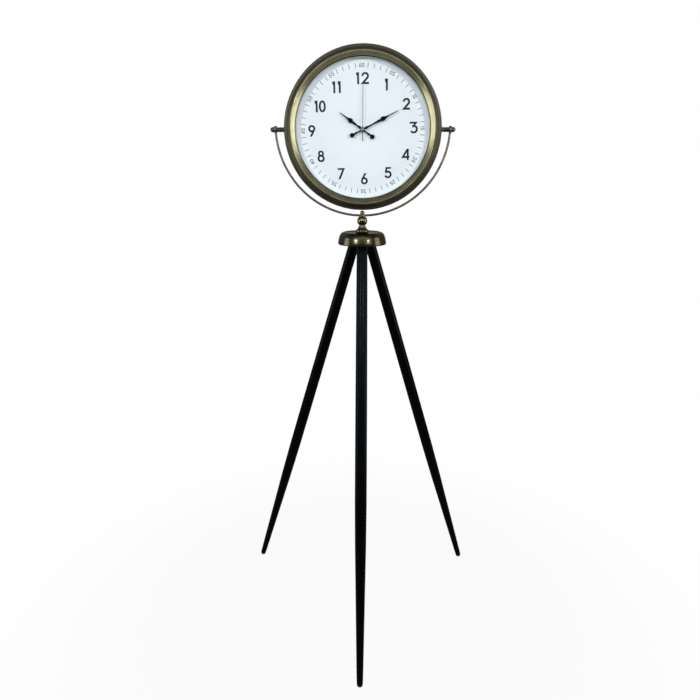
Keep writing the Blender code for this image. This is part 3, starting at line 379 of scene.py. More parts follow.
leg_run = leg_ends[1] - leg_ends[0]
leg_curve = [(leg_half * wide, leg_ends[0] + leg_run * up) for up, wide in leg_widths]
leg_curve = [(0, leg_ends[0]), *leg_curve, (0, leg_ends[1])]
leg_curve = rounded_outline(leg_curve, soft_edge=0.0009, steps=6)
leg_way = (leg_point(1) - leg_point(0)).normalized()
leg_out = Vector((0, 1, 0)).cross(leg_way)
leg_bm = bmesh.new()
leg_rings = []
for radius, height in leg_curve:
    ring = []
    for step in range(leg_sides if radius > 0 else 1):
        angle = math.tau * step / leg_sides
        spot = leg_point(height) + leg_out * radius * math.cos(angle)
        spot += Vector((0, radius * math.sin(angle), 0))
        # The ends are sawn level, so near them the rings lie level too
        level = 1 - min(1, (height - leg_ends[0]) / level_zone, (leg_ends[1] - height) / level_zone)
        spot += leg_way * level * ((height - spot.z) / leg_way.z)
        ring.append(leg_bm.verts.new(spot))
    leg_rings.append(ring)
join_rings(leg_bm, leg_rings, False)
leg_mesh = smooth_mesh("leg", leg_bm)


def places_from(tree, middle):
    """Where each spot of a piece is, measured from a point."""
    values = {0: places(tree), 1: tuple(middle)}
    return add_node(tree, "ShaderNodeVectorMath", values, operation="SUBTRACT").outputs[0]


def mapped(tree, place, change, values):
    """Places after one change along X, Y and Z: a Rotation in radians, or a Scale."""
    return add_node(tree, "ShaderNodeMapping", {"Vector": place, change: values}).outputs[0]


def lacquered(side, turn):
    """Black lacquer over open grain that runs along one leg."""
    made, tree, shader = new_finish(f"black_lacquer_{side}", 0.30, 0.0, 0.05)
    shader.inputs["Specular Tint"].default_value = (0.7, 0.9, 1.0, 1)
    faced = mapped(tree, places_from(tree, tripod_middle), "Rotation", (0, 0, -turn))
    upright = mapped(tree, faced, "Rotation", (0, math.atan(leg_lean), 0))
    stretched = mapped(tree, upright, "Scale", (1, 1, 0.03))
    open_pore = between(tree, noise(tree, stretched, 900.0, 3.0, 0.65), 0.56, 0.70)
    bands = between(tree, noise(tree, stretched, 150.0, 2.0, 0.5), 0.35, 0.65)
    marks = skin_marks(tree, places(tree), 700.0, 14.0)
    tone = mixed(tree, bands, (0.0003, 0.0005, 0.0009), (0.0006, 0.0009, 0.0015))
    black = mixed(tree, open_pore, tone, (0.0002, 0.0002, 0.0004))
    dull = times(tree, open_pore, 0.14)
    gloss = arithmetic(tree, "ADD", between(tree, marks["Cloud"], 0, 1, 0.26, 0.34), dull)
    relief = arithmetic(tree, "SUBTRACT", times(tree, marks["Grain"], 0.25), open_pore)
    work_up(tree, shader, black, gloss, relief, depth=0.00004)
    return made


for side, degrees in tripod_sides:
    turn = math.radians(degrees)
    spindle = leg_mesh.copy()
    spindle.transform(Matrix.Translation(tripod_middle) @ Matrix.Rotation(turn, 4, "Z"))
    fit(f"spindle_{side}", spindle, lacquered(side, turn), "tripod", "black_lacquer", f"leg_{side}")


# Leg studs, centre stud and hub plate: plain zinc-plated steel. The studs are threaded rod, and
# the plate under the cap is a turned disc that the three leg studs screw up into.

def axis_distance(tree, place):
    """How far a place is from its Z axis."""
    part = add_node(tree, "ShaderNodeSeparateXYZ", {0: place}).outputs
    flat = add_node(tree, "ShaderNodeCombineXYZ", {"X": part["X"], "Y": part["Y"]}).outputs[0]
    return add_node(tree, "ShaderNodeVectorMath", {0: flat}, operation="LENGTH").outputs["Value"]


# Metal turned or spun in a lathe: fine lines round the axis, some of them lighter or deeper
lathe, lathe_in, lathe_out = new_effect(
    "lathe_lines",
    [("Place", "NodeSocketVector", None), ("Lines per Metre", "NodeSocketFloat", 2500.0)],
    ["Lines", "Bands"],
)
part = add_node(lathe, "ShaderNodeSeparateXYZ", {0: lathe_in["Place"]}).outputs
radius = axis_distance(lathe, lathe_in["Place"])
spread = times(lathe, arithmetic(lathe, "ARCTAN2", part["Y"], part["X"]), 0.0012)
ringed = add_node(lathe, "ShaderNodeCombineXYZ", {"X": radius, "Y": part["Z"], "Z": spread}).outputs[0]
fine_lines = noise(lathe, ringed, lathe_in["Lines per Metre"], 2.0, 0.7)
broad_lines = noise(lathe, ringed, times(lathe, lathe_in["Lines per Metre"], 0.16), 2.0)
lathe.links.new(between(lathe, fine_lines, 0.25, 0.75), lathe_out["Lines"])
lathe.links.new(between(lathe, broad_lines, 0.35, 0.65), lathe_out["Bands"])

# Handling: soft clouds of tarnish, and small bright nicks here and there
handled, handled_in, handled_out = new_effect(
    "handling",
    [("Place", "NodeSocketVector", None), ("Clouds per Metre", "NodeSocketFloat", 45.0)],
    ["Tarnish", "Nicks"],
)
clouds = noise(handled, handled_in["Place"], handled_in["Clouds per Metre"], 5.0, 0.62)
specks = noise(handled, handled_in["Place"], 900.0, 1.0)
handled.links.new(between(handled, clouds, 0.36, 0.66), handled_out["Tarnish"])
handled.links.new(between(handled, specks, 0.70, 0.78), handled_out["Nicks"])


def about_axis(tree, axis, middle):
    """Places on a piece, measured from its own turning axis, with that axis as Z."""
    spin = {"X": (0, math.pi / 2, 0), "Y": (math.pi / 2, 0, 0), "Z": (0, 0, 0)}[axis]
    return mapped(tree, places_from(tree, middle), "Rotation", spin)


def turned_metal(name, bright, dark, roughness, axis, middle, lines=2500.0, depth=0.000012, tarnish=0.55):
    """A lathe-turned metal: bright where it is rubbed, dark where tarnish has gathered."""
    made, tree, shader = new_finish(name, roughness, 1.0)
    place = about_axis(tree, axis, middle)
    turned = effect(tree, lathe, {"Place": place, "Lines per Metre": lines})
    marks = effect(tree, handled, {"Place": place})
    share = times(tree, marks["Tarnish"], tarnish)
    share = arithmetic(tree, "ADD", share, times(tree, turned["Bands"], 1 - tarnish))
    base = mixed(tree, share, bright, dark)
    lightened = mixed(tree, times(tree, marks["Nicks"], 0.35), base, bright)
    gloss = between(tree, turned["Lines"], 0, 1, roughness - 0.05, roughness + 0.06)
    haze = arithmetic(tree, "ADD", gloss, times(tree, marks["Tarnish"], 0.08))
    work_up(tree, shader, lightened, haze, turned["Lines"], depth)
    return made


zinc = turned_metal("zinc_plate", (0.62, 0.62, 0.60), (0.42, 0.42, 0.41), 0.34, "Z", tripod_middle)


def dress(finish, *nodes, edge=0.0):
    """Gives plain solids that stay in view a finish, and a small radius on their edges."""
    for name in nodes:
        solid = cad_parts[name]
        for slot in solid.material_slots:
            slot.material = finish
        if edge:
            weld = solid.modifiers.new("closed_seams", "WELD")
            weld.merge_threshold = 0.00001
            bevel = solid.modifiers.new("broken_edges", "BEVEL")
            bevel.width = edge
            bevel.segments = 2
            bevel.limit_method = "ANGLE"
            bevel.angle_limit = math.radians(50)
            bevel.harden_normals = False


thread_pitch = 0.00125
thread, tree, shader = new_finish("rolled_thread", 0.36, 1.0)
place = places(tree)
marks = effect(tree, handled, {"Place": place})
height = add_node(tree, "ShaderNodeSeparateXYZ", {0: place}).outputs["Z"]
turns = arithmetic(tree, "SINE", times(tree, height, math.tau / thread_pitch))
steel = mixed(tree, marks["Tarnish"], (0.60, 0.60, 0.58), (0.38, 0.38, 0.37))
work_up(tree, shader, steel, between(tree, turns, -1, 1, 0.5, 0.3), turns, depth=0.0002)
dress(thread, "leg_stud_front", "leg_stud_right", "leg_stud_left", "centre_stud")

plate_ends = (0.9740, 0.9872)
cap_rim = 0.0433
bore = 0.0033


def ring_outline(outer, inner, ends):
    """The outline of a flat ring that runs from one place along its axis to another."""
    return [(outer, ends[0]), (outer, ends[1]), (inner, ends[1]), (inner, ends[0])]


plate = rounded_outline(ring_outline(cap_rim, bore, plate_ends), soft_edge=0.0006)
fit_turned("turned_plate", plate, "Z", tripod_middle, 96, zinc, "tripod", "zinc_steel", "hub_plate")


# Hub cap: a dish pressed and spun from sheet brass, with a low rim round its flat top. It is
# chemically darkened, then lacquered.
cap_radius, cap_height, cap_top = 0.0572, 0.0287, 0.9908
recess_floor, recess_radius, sheet = 0.9890, 0.0415, 0.0015
cap_outside = [
    (0.76, 0.0), (0.84, 0.05), (0.90, 0.17), (0.945, 0.34), (0.983, 0.66), (1.0, 0.87), (0.995, 0.96),
    (0.965, 1.0),
]
cap_inside = [(0.945, 0.965), (0.972, 0.86), (0.945, 0.60), (0.90, 0.31), (0.845, 0.17)]


def aged_brass(name, axis, middle, roughness=0.22, bright=(0.070, 0.062, 0.034), dark=(0.032, 0.027, 0.015)):
    """Brass darkened by the maker: near brown, glossy under lacquer, with turned lines below it."""
    made = turned_metal(name, bright, dark, roughness, axis, middle, 3200.0, 0.000010, 0.45)
    shader = made.node_tree.nodes["Principled BSDF"]
    shader.inputs["Specular Tint"].default_value = (0.42, 0.40, 0.34, 1)
    shader.inputs["Coat Weight"].default_value = 0.28
    shader.inputs["Coat Roughness"].default_value = 0.09
    return made


upright_brass = aged_brass("aged_brass_upright", "Z", tripod_middle)
cap = [(bore, recess_floor), (recess_radius, recess_floor), (cap_rim, cap_top)]
cap += [(cap_radius * wide, cap_top - cap_height * down) for wide, down in cap_outside]
cap += [(cap_radius * wide, cap_top - cap_height * down) for wide, down in cap_inside]
cap += [(cap_rim, recess_floor - sheet), (bore, recess_floor - sheet)]
cap = rounded_outline(cap, soft_edge=0.0007, steps=5)
fit_turned("spun_cap", cap, "Z", tripod_middle, 160, upright_brass, "tripod", "antique_brass", "hub_cap")


# Stem: a collar, a waisted neck and a ball, each turned from brass bar and threaded over the
# centre stud, then an acorn nut on top that clamps the yoke's boss.
stem_brass = aged_brass(
    "aged_brass_stem", "Z", tripod_middle, roughness=0.18, bright=(0.17, 0.152, 0.088),
    dark=(0.08, 0.07, 0.042),
)


def fit_on_stem(name, outline, node, soft_edge, sides=96):
    rounded = rounded_outline(outline, soft_edge)
    fit_turned(name, rounded, "Z", tripod_middle, sides, stem_brass, "tripod", "antique_brass", node)


collar_foot, collar_height, collar_radius = 0.9893, 0.0070, 0.0152
collar = [
    (collar_radius * wide, collar_foot + collar_height * up)
    for wide, up in ((0.93, 0.0), (1.0, 0.14), (1.0, 0.74), (0.93, 0.95), (0.87, 1.0))
]
collar += [(bore, collar_foot + collar_height), (bore, collar_foot)]
fit_on_stem("stem_ring", collar, "stem_collar", soft_edge=0.0006)

neck_top, neck_height = 1.0078, 0.0112
neck = []
for step in range(17):
    down = step / 16
    neck.append((0.0075 + 0.0055 * down**2.2, neck_top - neck_height * down))
neck += [(bore, neck_top - neck_height), (bore, neck_top)]
fit_on_stem("waisted_neck", neck, "stem_neck", soft_edge=0.0004)

ball_radius, ball_top, ball_cap = 0.0120, 1.0253, math.radians(45.8)
ball_half = ball_radius * math.sin(ball_cap)
ball = []
for step in range(25):
    lift = ball_cap * (1 - step / 12)
    ball.append((ball_radius * math.cos(lift), ball_top - ball_half + ball_radius * math.sin(lift)))
ball += [(bore, ball_top - 2 * ball_half), (bore, ball_top)]
fit_on_stem("turned_ball", ball, "stem_ball", soft_edge=0.0004)

acorn_foot, acorn_radius, acorn_height = 1.0307, 0.0061, 0.0095
acorn_shape = [(1.0, 0.0), (1.0, 0.12), (0.9, 0.2), (0.85, 0.5), (0.8, 0.66), (0.62, 0.84), (0.34, 0.96)]
blind_end = acorn_foot + acorn_height * 0.6
acorn = [(0, blind_end), (bore, blind_end), (bore, acorn_foot)]
acorn += [(acorn_radius * wide, acorn_foot + acorn_height * up) for wide, up in acorn_shape]
acorn.append((0, acorn_foot + acorn_height))
fit_on_stem("acorn", acorn, "acorn_nut", soft_edge=0.0003, sides=64)


# Yoke: a 5 mm steel rod bent to an arc under the head, with a pressed eye at each end and a
# round boss welded in at the middle. It is bronze-plated, almost black, with a soft sheen.
yoke_half, yoke_drop = 0.1978, 0.1910
rod_radius, rod_sides, rod_steps = 0.0026, 28, 160
eye_radius, eye_half = 0.0082, 0.0026
boss_radius, boss_ends = 0.0078, (1.0256, 1.0304)
yoke_rise = (yoke_half**2 - yoke_drop**2) / (2 * yoke_drop)
yoke_bend = yoke_drop + yoke_rise

plated, tree, shader = new_finish("dark_bronze_plate", 0.36, 1.0)
place = places(tree)
marks = effect(tree, handled, {"Place": place, "Clouds per Metre": 70.0})
grain = skin_marks(tree, place, 2600.0)["Grain"]
base = mixed(tree, marks["Tarnish"], (0.17, 0.162, 0.145), (0.11, 0.106, 0.096))
bronze = mixed(tree, marks["Nicks"], base, (0.24, 0.22, 0.17))
work_up(tree, shader, bronze, between(tree, grain, 0, 1, 0.30, 0.44), grain, depth=0.00002)

arc_end = math.atan2(yoke_half, yoke_rise) - eye_radius / 2 / yoke_bend
rod_bm = bmesh.new()
rod_rings = []
for step in range(rod_steps + 1):
    swing = arc_end * (2 * step / rod_steps - 1)
    outward = Vector((math.sin(swing), 0, -math.cos(swing)))
    middle = head_middle + Vector((0, 0, yoke_rise)) + outward * yoke_bend
    ring = []
    for side in range(rod_sides):
        angle = math.tau * side / rod_sides
        spot = middle + outward * rod_radius * math.cos(angle)
        ring.append(rod_bm.verts.new(spot + Vector((0, rod_radius * math.sin(angle), 0))))
    rod_rings.append(ring)
join_rings(rod_bm, rod_rings, False)
rod_bm.faces.new(rod_rings[0])
rod_bm.faces.new(rod_rings[-1])
fit("yoke_rod", smooth_mesh("yoke_rod", rod_bm), plated, "yoke", "dark_bronze", "yoke_arc")

pivot_bore = 0.0033
both_sides = (("left", -1), ("right", 1))
for side, way in both_sides:
    eye = ring_outline(eye_radius, pivot_bore, (way * (yoke_half - eye_half), way * (yoke_half + eye_half)))
    eye = rounded_outline(eye, soft_edge=0.0009)
    fit_turned(f"yoke_eye_{side}", eye, "X", head_middle, 64, plated, "yoke", "dark_bronze")
boss = rounded_outline(ring_outline(boss_radius, bore, boss_ends), soft_edge=0.0008)
fit_turned("yoke_boss", boss, "Z", tripod_middle, 64, plated, "yoke", "dark_bronze")


# Side pivots: on each side a steel stud goes out through the drum wall, with a nut inside, a
# ribbed spacer between drum and yoke, and a domed knob outside that is slackened to tilt the head.
spacer_ends, spacer_radius, spacer_valley, ribs = (0.1709, 0.1949), 0.0055, 0.00462, 4
knob_foot, knob_radius, knob_length = 0.2007, 0.0058, 0.0091
knob_shape = [(0.86, 0.0), (1.0, 0.07), (1.0, 0.3), (0.93, 0.55), (0.72, 0.8), (0.38, 0.96)]
pivot_metal = turned_metal(
    "pivot_bronze", (0.13, 0.12, 0.095), (0.045, 0.042, 0.036), 0.28, "X", head_middle, 3000.0
)
for side, way in both_sides:
    pitch = (spacer_ends[1] - spacer_ends[0]) / ribs
    spacer = []
    for rib in range(ribs):
        start = spacer_ends[0] + rib * pitch
        spacer += [(spacer_valley, start), (spacer_valley, start + pitch * 0.12)]
        spacer += [(spacer_radius, start + pitch * 0.25), (spacer_radius, start + pitch * 0.80)]
        spacer.append((spacer_valley, start + pitch * 0.93))
    spacer += [(spacer_valley, spacer_ends[1]), (pivot_bore, spacer_ends[1]), (pivot_bore, spacer_ends[0])]
    spacer = [(radius, way * along) for radius, along in rounded_outline(spacer, soft_edge=0.0005)]
    fitting = (pivot_metal, "head", "dark_bronze", f"pivot_spacer_{side}")
    fit_turned(f"ribbed_spacer_{side}", spacer, "X", head_middle, 64, *fitting)
    bottom = knob_foot + knob_length * 0.6
    knob = [(0, bottom), (pivot_bore, bottom), (pivot_bore, knob_foot)]
    knob += [(knob_radius * wide, knob_foot + knob_length * up) for wide, up in knob_shape]
    knob.append((0, knob_foot + knob_length))
    knob = [(radius, way * along) for radius, along in rounded_outline(knob, soft_edge=0.0004)]
    fitting = (pivot_metal, "head", "dark_bronze", f"pivot_knob_{side}")
    fit_turned(f"domed_knob_{side}", knob, "X", head_middle, 64, *fitting)
dress(zinc, "pivot_nut_left", "pivot_nut_right", edge=0.0004)
dress(thread, "pivot_stud_left", "pivot_stud_right")


# Drum: the side wall of the head, a strip of sheet brass rolled and brazed, with its rear edge
# turned in as a flange for the cover screws. It is darkened like the hub.
drum_radius, drum_wall = 0.1706, 0.0015
drum_inside = drum_radius - drum_wall
drum_ends, flange_front, flange_bore = (-0.0139, 0.0300), 0.0285, 0.1596
drum_outline = [
    (drum_radius, drum_ends[0]), (drum_radius, drum_ends[1]), (flange_bore, drum_ends[1]),
    (flange_bore, flange_front), (drum_inside, flange_front), (drum_inside, drum_ends[0]),
]
drum_brass = aged_brass(
    "aged_brass_drum", "Y", head_middle, roughness=0.34, bright=(0.09, 0.08, 0.046),
    dark=(0.04, 0.034, 0.02),
)
drum = rounded_outline(drum_outline, soft_edge=0.0011)
fit_turned("rolled_drum", drum, "Y", head_middle, 256, drum_brass, "head", "antique_brass", "case_drum")


# Bezel: a heavy moulding spun from sheet brass. Its outer lip, groove and round band are left
# dark, and the wide slope down to the glass is polished round and round to a satin brass.
opening, bezel_width, bezel_front, bezel_depth = 0.1506, 0.0274, -0.0240, 0.0178
drum_socket, seat_radius, seat_share = 0.1709, 0.1611, 0.7135
bezel_shape = [
    (0.947, 1.0), (1.0, 0.92), (0.985, 0.80), (0.93, 0.755), (0.80, 0.745), (0.735, 0.66),
    (0.735, 0.54), (0.70, 0.34), (0.62, 0.16), (0.52, 0.06), (0.41, 0.0), (0.24, 0.225),
    (0.09, 0.42), (0.02, 0.50), (0.0, 0.58), (0.023, seat_share),
]


def bezel_spot(across, back):
    return (opening + bezel_width * across, bezel_front + bezel_depth * back)


bezel = [(drum_socket, bezel_front + bezel_depth)]
bezel += [bezel_spot(*shares) for shares in bezel_shape]
bezel.append((seat_radius, bezel_front + bezel_depth * seat_share))
bezel += [bezel_spot(0.45, 0.15), bezel_spot(0.66, 0.26)]
bezel.append((drum_socket, bezel_front + bezel_depth * 0.55))

# Radii between which one tone of the bezel gives way to the next
nose_shade_end, ridge_highlight_start, slope_end = (0.1522, 0.1534), (0.1610, 0.1618), (0.1622, 0.1630)
ridge_highlight_end, lip_start = (0.1624, 0.1632), (0.1730, 0.1740)
bezel_brass, tree, shader = new_finish("satin_brass", 0.30, 1.0)
place = about_axis(tree, "Y", head_middle)
radius = axis_distance(tree, place)
turned = effect(tree, lathe, {"Place": place, "Lines per Metre": 2000.0})
marks = effect(tree, handled, {"Place": place, "Clouds per Metre": 22.0})
satin = mixed(tree, turned["Bands"], (0.42, 0.41, 0.245), (0.34, 0.333, 0.19))
satin = mixed(tree, times(tree, marks["Tarnish"], 0.3), satin, (0.14, 0.12, 0.06))
brown = mixed(tree, turned["Bands"], (0.092, 0.089, 0.060), (0.062, 0.060, 0.040))
brown = mixed(tree, times(tree, marks["Tarnish"], 0.5), brown, (0.06, 0.052, 0.036))
outside = between(tree, radius, *slope_end)
colour = mixed(tree, outside, satin, brown)
# Painted highlight: a thin lighter band along the ridge where the satin slope meets the dark band
lightened = times(tree, between(tree, radius, *ridge_highlight_start), between(tree, radius, *ridge_highlight_end, 1, 0))
colour = mixed(tree, times(tree, lightened, 0.25), colour, (0.42, 0.39, 0.26))
lip = between(tree, radius, *lip_start)
colour = mixed(tree, times(tree, lip, 0.6), colour, (0.055, 0.053, 0.042))
# Painted shade: the innermost edge of the slope, next to the glass, is darkened as the shadow in the gap
# there
nose_shade = between(tree, radius, *nose_shade_end, 1, 0)
colour = mixed(tree, times(tree, nose_shade, 0.9), colour, (0.034, 0.032, 0.019))
gloss = between(tree, turned["Lines"], 0, 1, 0.24, 0.36)
gloss = arithmetic(tree, "ADD", gloss, times(tree, outside, 0.18))
work_up(tree, shader, colour, gloss, turned["Lines"], depth=0.000012)
bezel = rounded_outline(bezel, soft_edge=0.0006, steps=5)
fit_turned("spun_bezel", bezel, "Y", head_middle, 288, bezel_brass, "head", "satin_brass", "bezel")


# Front glass: a flat 2.5 mm pane of clear float glass with its edge ground, held against the
# bezel's seat by the surround behind it.
glass_radius, glass_ends = 0.1605, (-0.0110, -0.0085)
clear_glass, tree, shader = new_finish("clear_glass", 0.0, 0.0, 0.3)
shader.inputs["Base Color"].default_value = (0.985, 0.993, 0.997, 1)
shader.inputs["Transmission Weight"].default_value = 1.0
shader.inputs["IOR"].default_value = 1.5
marks = effect(tree, handled, {"Place": places(tree), "Clouds per Metre": 18.0})
tree.links.new(between(tree, marks["Tarnish"], 0, 1, 0.0, 0.012), shader.inputs["Roughness"])
see_through = add_node(tree, "ShaderNodeBsdfTransparent", {"Color": (0.975, 0.985, 0.99, 1)})
ray = add_node(tree, "ShaderNodeLightPath").outputs
passes = arithmetic(tree, "MAXIMUM", ray["Is Shadow Ray"], ray["Is Diffuse Ray"])
pane = mixed_shader(tree, passes, shader, see_through)
tree.links.new(pane.outputs[0], tree.nodes["Material Output"].inputs["Surface"])


def disc_outline(radius, ends):
    """The outline of a whole disc that runs from one place along its axis to another."""
    return [(0, ends[0]), (radius, ends[0]), (radius, ends[1]), (0, ends[1])]


glass = rounded_outline(disc_outline(glass_radius, glass_ends), soft_edge=0.0004)
fit_turned("glass_pane", glass, "Y", head_middle, 256, clear_glass, "head", "clear_glass", "front_glass")


# Surround: a spun aluminium ring painted pale grey that stands between glass and dial and hides
# the edge of the dial. Its paint is darkened to a mid grey as painted shade from the bezel. Its
# wall leans in a little towards the dial.
surround_ends, mouth, throat, surround_wall = (-0.0082, 0.0055), 0.1528, 0.1489, 0.0016
# Painted shade: the pale grey is darkened to stand for the bezel's shadow on the surround
pale_paint = moulded(
    "pale_paint", (0.50, 0.545, 0.565), (0.455, 0.50, 0.52),
    roughness=0.48, grains=1300, depth=0.00003,
)
rim_back = surround_ends[0] + surround_wall
surround = [
    (mouth, surround_ends[0]), (glass_radius, surround_ends[0]), (glass_radius, rim_back),
    (mouth + surround_wall, rim_back), (throat + surround_wall, surround_ends[1]), (throat, surround_ends[1]),
]
surround = rounded_outline(surround, soft_edge=0.0005)
fit_turned(
    "surround_ring", surround, "Y", head_middle, 256, pale_paint, "head", "pale_paint", "dial_surround"
)


# Dial: a thin aluminium disc sprayed cool white. Its middle is painted a greyer white, so that the
# edge is palest: painted light that makes up for the shade of the rim. It is screen-printed with
# upright hour numerals in charcoal, and in thin grey with a minute ring whose numbers stand
# outward all the way round.
dial_ends, dial_bore, painted_light_edge = (0.0058, 0.0068), 0.0043, (0.118, 0.144)
dial_white = moulded(
    "dial_white", (0.91, 0.965, 1.0), (0.89, 0.95, 0.99),
    roughness=0.55, grains=2200, depth=0.000012, specular=0.3,
)
tree = dial_white.node_tree
base_colour = tree.nodes["Principled BSDF"].inputs["Base Color"]
radius = axis_distance(tree, about_axis(tree, "Y", head_middle))
# Painted light: the dial's middle is given a greyer white, so its edge stands paler against the rim's shade
middle = between(tree, radius, *painted_light_edge, 0.9, 0.0)
sprayed = base_colour.links[0].from_socket
tree.links.new(mixed(tree, middle, sprayed, (0.82, 0.885, 0.932)), base_colour)
dial = rounded_outline(ring_outline(glass_radius, dial_bore, dial_ends), soft_edge=0.0002)
fit_turned("dial_disc", dial, "Y", head_middle, 192, dial_white, "head", "white_dial", "dial_plate")


def arc(middle, across, up, start, end):
    """Points along an arc of an ellipse, from one angle in degrees to another."""
    steps = max(8, round(abs(end - start) / 9))
    angles = [math.radians(start + (end - start) * step / steps) for step in range(steps + 1)]
    return [(middle[0] + across * math.cos(a), middle[1] + up * math.sin(a)) for a in angles]


def pen_stroke(points, weight):
    """Four-cornered pieces of a line of even weight, mitred where they meet."""
    whole = points[0] == points[-1] or (Vector(points[0]) - Vector(points[-1])).length < 1e-6
    line = [Vector(point) for point in (points[:-1] if whole else points)]
    count = len(line)
    ways = [(line[(n + 1) % count] - line[n]).normalized() for n in range(count)]
    edges = []
    for number in range(count):
        into = ways[number - 1] if whole or number else ways[number]
        out = ways[number] if whole or number < count - 1 else ways[number - 1]
        bisector = Vector((-(into + out).y, (into + out).x)).normalized()
        stretch = min(4, 1 / max(0.2, bisector.dot(Vector((-out.y, out.x)))))
        offset = bisector * weight / 2 * stretch
        edges.append((line[number] + offset, line[number] - offset))
    pairs = [(n, (n + 1) % count) for n in range(count if whole else count - 1)]
    return [[edges[a][0], edges[a][1], edges[b][1], edges[b][0]] for a, b in pairs]


def trimmed(corners, level, above):
    """The part of a convex shape above or below a level line."""
    kept = []
    for here, after in zip(corners, corners[1:] + corners[:1]):
        inside = [(spot.y >= level) if above else (spot.y <= level) for spot in (here, after)]
        if inside[0]:
            kept.append(here)
        if inside[0] != inside[1]:
            kept.append(here.lerp(after, (level - here.y) / (after.y - here.y)))
    return kept


six_bowl = arc((0.30, 0.305), 0.235, 0.235, 0, 360)
six_stem = [(0.43, 1.05), (0.098, 0.426)]
numeral_lines = {
    "0": [arc((0.30, 0.5), 0.23, 0.43, 0, 360)],
    "2": [arc((0.32, 0.68), 0.245, 0.245, 180, -38) + [(0.09, 0.085), (0.65, 0.085)]],
    "3": [[(0, 0.93), (0.565, 0.93), (0.33, 0.645)] + arc((0.37, 0.36), 0.29, 0.29, 98, -148)],
    "4": [[(0.53, 0), (0.53, 1), (0.08, 0.27), (0.68, 0.27)]],
    "5": [[(0.60, 0.93), (0.20, 0.93), (0.125, 0.49)], arc((0.33, 0.335), 0.255, 0.26, 146, -162)],
    "6": [six_bowl, six_stem],
    "7": [[(0, 0.93), (0.56, 0.93), (0.135, -0.05)]],
    "8": [arc((0.32, 0.31), 0.245, 0.245, 0, 360), arc((0.32, 0.745), 0.19, 0.19, 0, 360)],
    "9": [[(0.60 - x, 1 - y) for x, y in line] for line in (six_bowl, six_stem)],
}


def numeral_pieces(numeral, weight):
    """A numeral one unit high, as small flat pieces that overlap."""
    if numeral == "1":
        flag = weight / 0.145 * 0.065
        stem = flag + weight * 1.03
        pieces = [[(flag, 0), (stem, 0), (stem, 1), (flag, 1)], [(0, 0.76), (flag, 0.70), (flag, 1), (0, 1)]]
        return [[Vector(corner) for corner in piece] for piece in pieces]
    pieces = [piece for line in numeral_lines[numeral] for piece in pen_stroke(line, weight)]
    pieces = [trimmed(trimmed(piece, 0, True), 1, False) for piece in pieces]
    return [piece for piece in pieces if len(piece) > 2]


def number_pieces(number, weight, gaps):
    """The pieces of a whole number, its numerals side by side and its middle at (0, 0)."""
    pieces = []
    start = 0
    for place, numeral in enumerate(number):
        drawn = numeral_pieces(numeral, weight)
        left = min(corner.x for piece in drawn for corner in piece)
        right = max(corner.x for piece in drawn for corner in piece)
        pieces += [[corner + Vector((start - left, -0.5)) for corner in piece] for piece in drawn]
        start += right - left + (gaps.get(number, gaps["any"]) if place < len(number) - 1 else 0)
    return [[corner - Vector((start / 2, 0)) for corner in piece] for piece in pieces]


def printed_mesh(name, groups, front, back):
    """Ink laid on the dial: overlapping pieces are run together, then given a trace of thickness."""
    bm = bmesh.new()
    for pieces in groups:
        spots = [corner for piece in pieces for corner in piece]
        faces, start = [], 0
        for piece in pieces:
            faces.append(list(range(start, start + len(piece))))
            start += len(piece)
        spots, _, triangles, _, _, covering = delaunay_2d_cdt(spots, [], faces, 1, 1e-7)
        triangles = [triangle for triangle, pieces_under in zip(triangles, covering) if pieces_under]
        near = [bm.verts.new(head_middle + Vector((spot.x, front, spot.y))) for spot in spots]
        far = [bm.verts.new(head_middle + Vector((spot.x, back, spot.y))) for spot in spots]
        rims = {}
        for triangle in triangles:
            bm.faces.new([near[corner] for corner in triangle])
            bm.faces.new([far[corner] for corner in reversed(triangle)])
            for first, second in zip(triangle, triangle[1:] + triangle[:1]):
                rims.setdefault(frozenset((first, second)), []).append((first, second))
        for uses in rims.values():
            if len(uses) == 1:
                first, second = uses[0]
                bm.faces.new((near[second], near[first], far[first], far[second]))
    bmesh.ops.delete(bm, geom=[vert for vert in bm.verts if not vert.link_faces], context="VERTS")
    bmesh.ops.recalc_face_normals(bm, faces=bm.faces)
    mesh = bpy.data.meshes.new(name)
    bm.to_mesh(mesh)
    bm.free()
    return mesh


def ink(name, colour, thin):
    """Screen-printing ink: matt, a touch uneven, and slightly thinner in specks."""
    made, tree, shader = new_finish(name, 0.6, 0.0, 0.12)
    marks = skin_marks(tree, places(tree), 5200.0, 120.0)
    printed = mixed(tree, times(tree, marks["Grain"], 0.5), colour, thin)
    work_up(tree, shader, printed, between(tree, marks["Cloud"], 0, 1, 0.52, 0.66))
    return made


dial_roll = math.radians(1.25)
ink_layer = (dial_ends[0] - 0.00008, dial_ends[0] + 0.0001)
hour_height, hour_circle, side_reach = 0.0247, 0.1080, 0.0070
minute_height, minute_circle, mark_length = 0.0088, 0.1348, 0.0102


def around(pieces, height, reach, degrees, turned, nudge=(0, 0)):
    """Sizes a number and sets it on its ring, upright or turned to face outward."""
    angle = math.radians(degrees)
    middle = Vector((math.sin(angle), math.cos(angle))) * reach + Vector(nudge) / 1000
    turn = Matrix.Rotation(-angle if turned else 0, 2)
    roll = Matrix.Rotation(dial_roll, 2)
    return [[roll @ (middle + turn @ (corner * height)) for corner in piece] for piece in pieces]


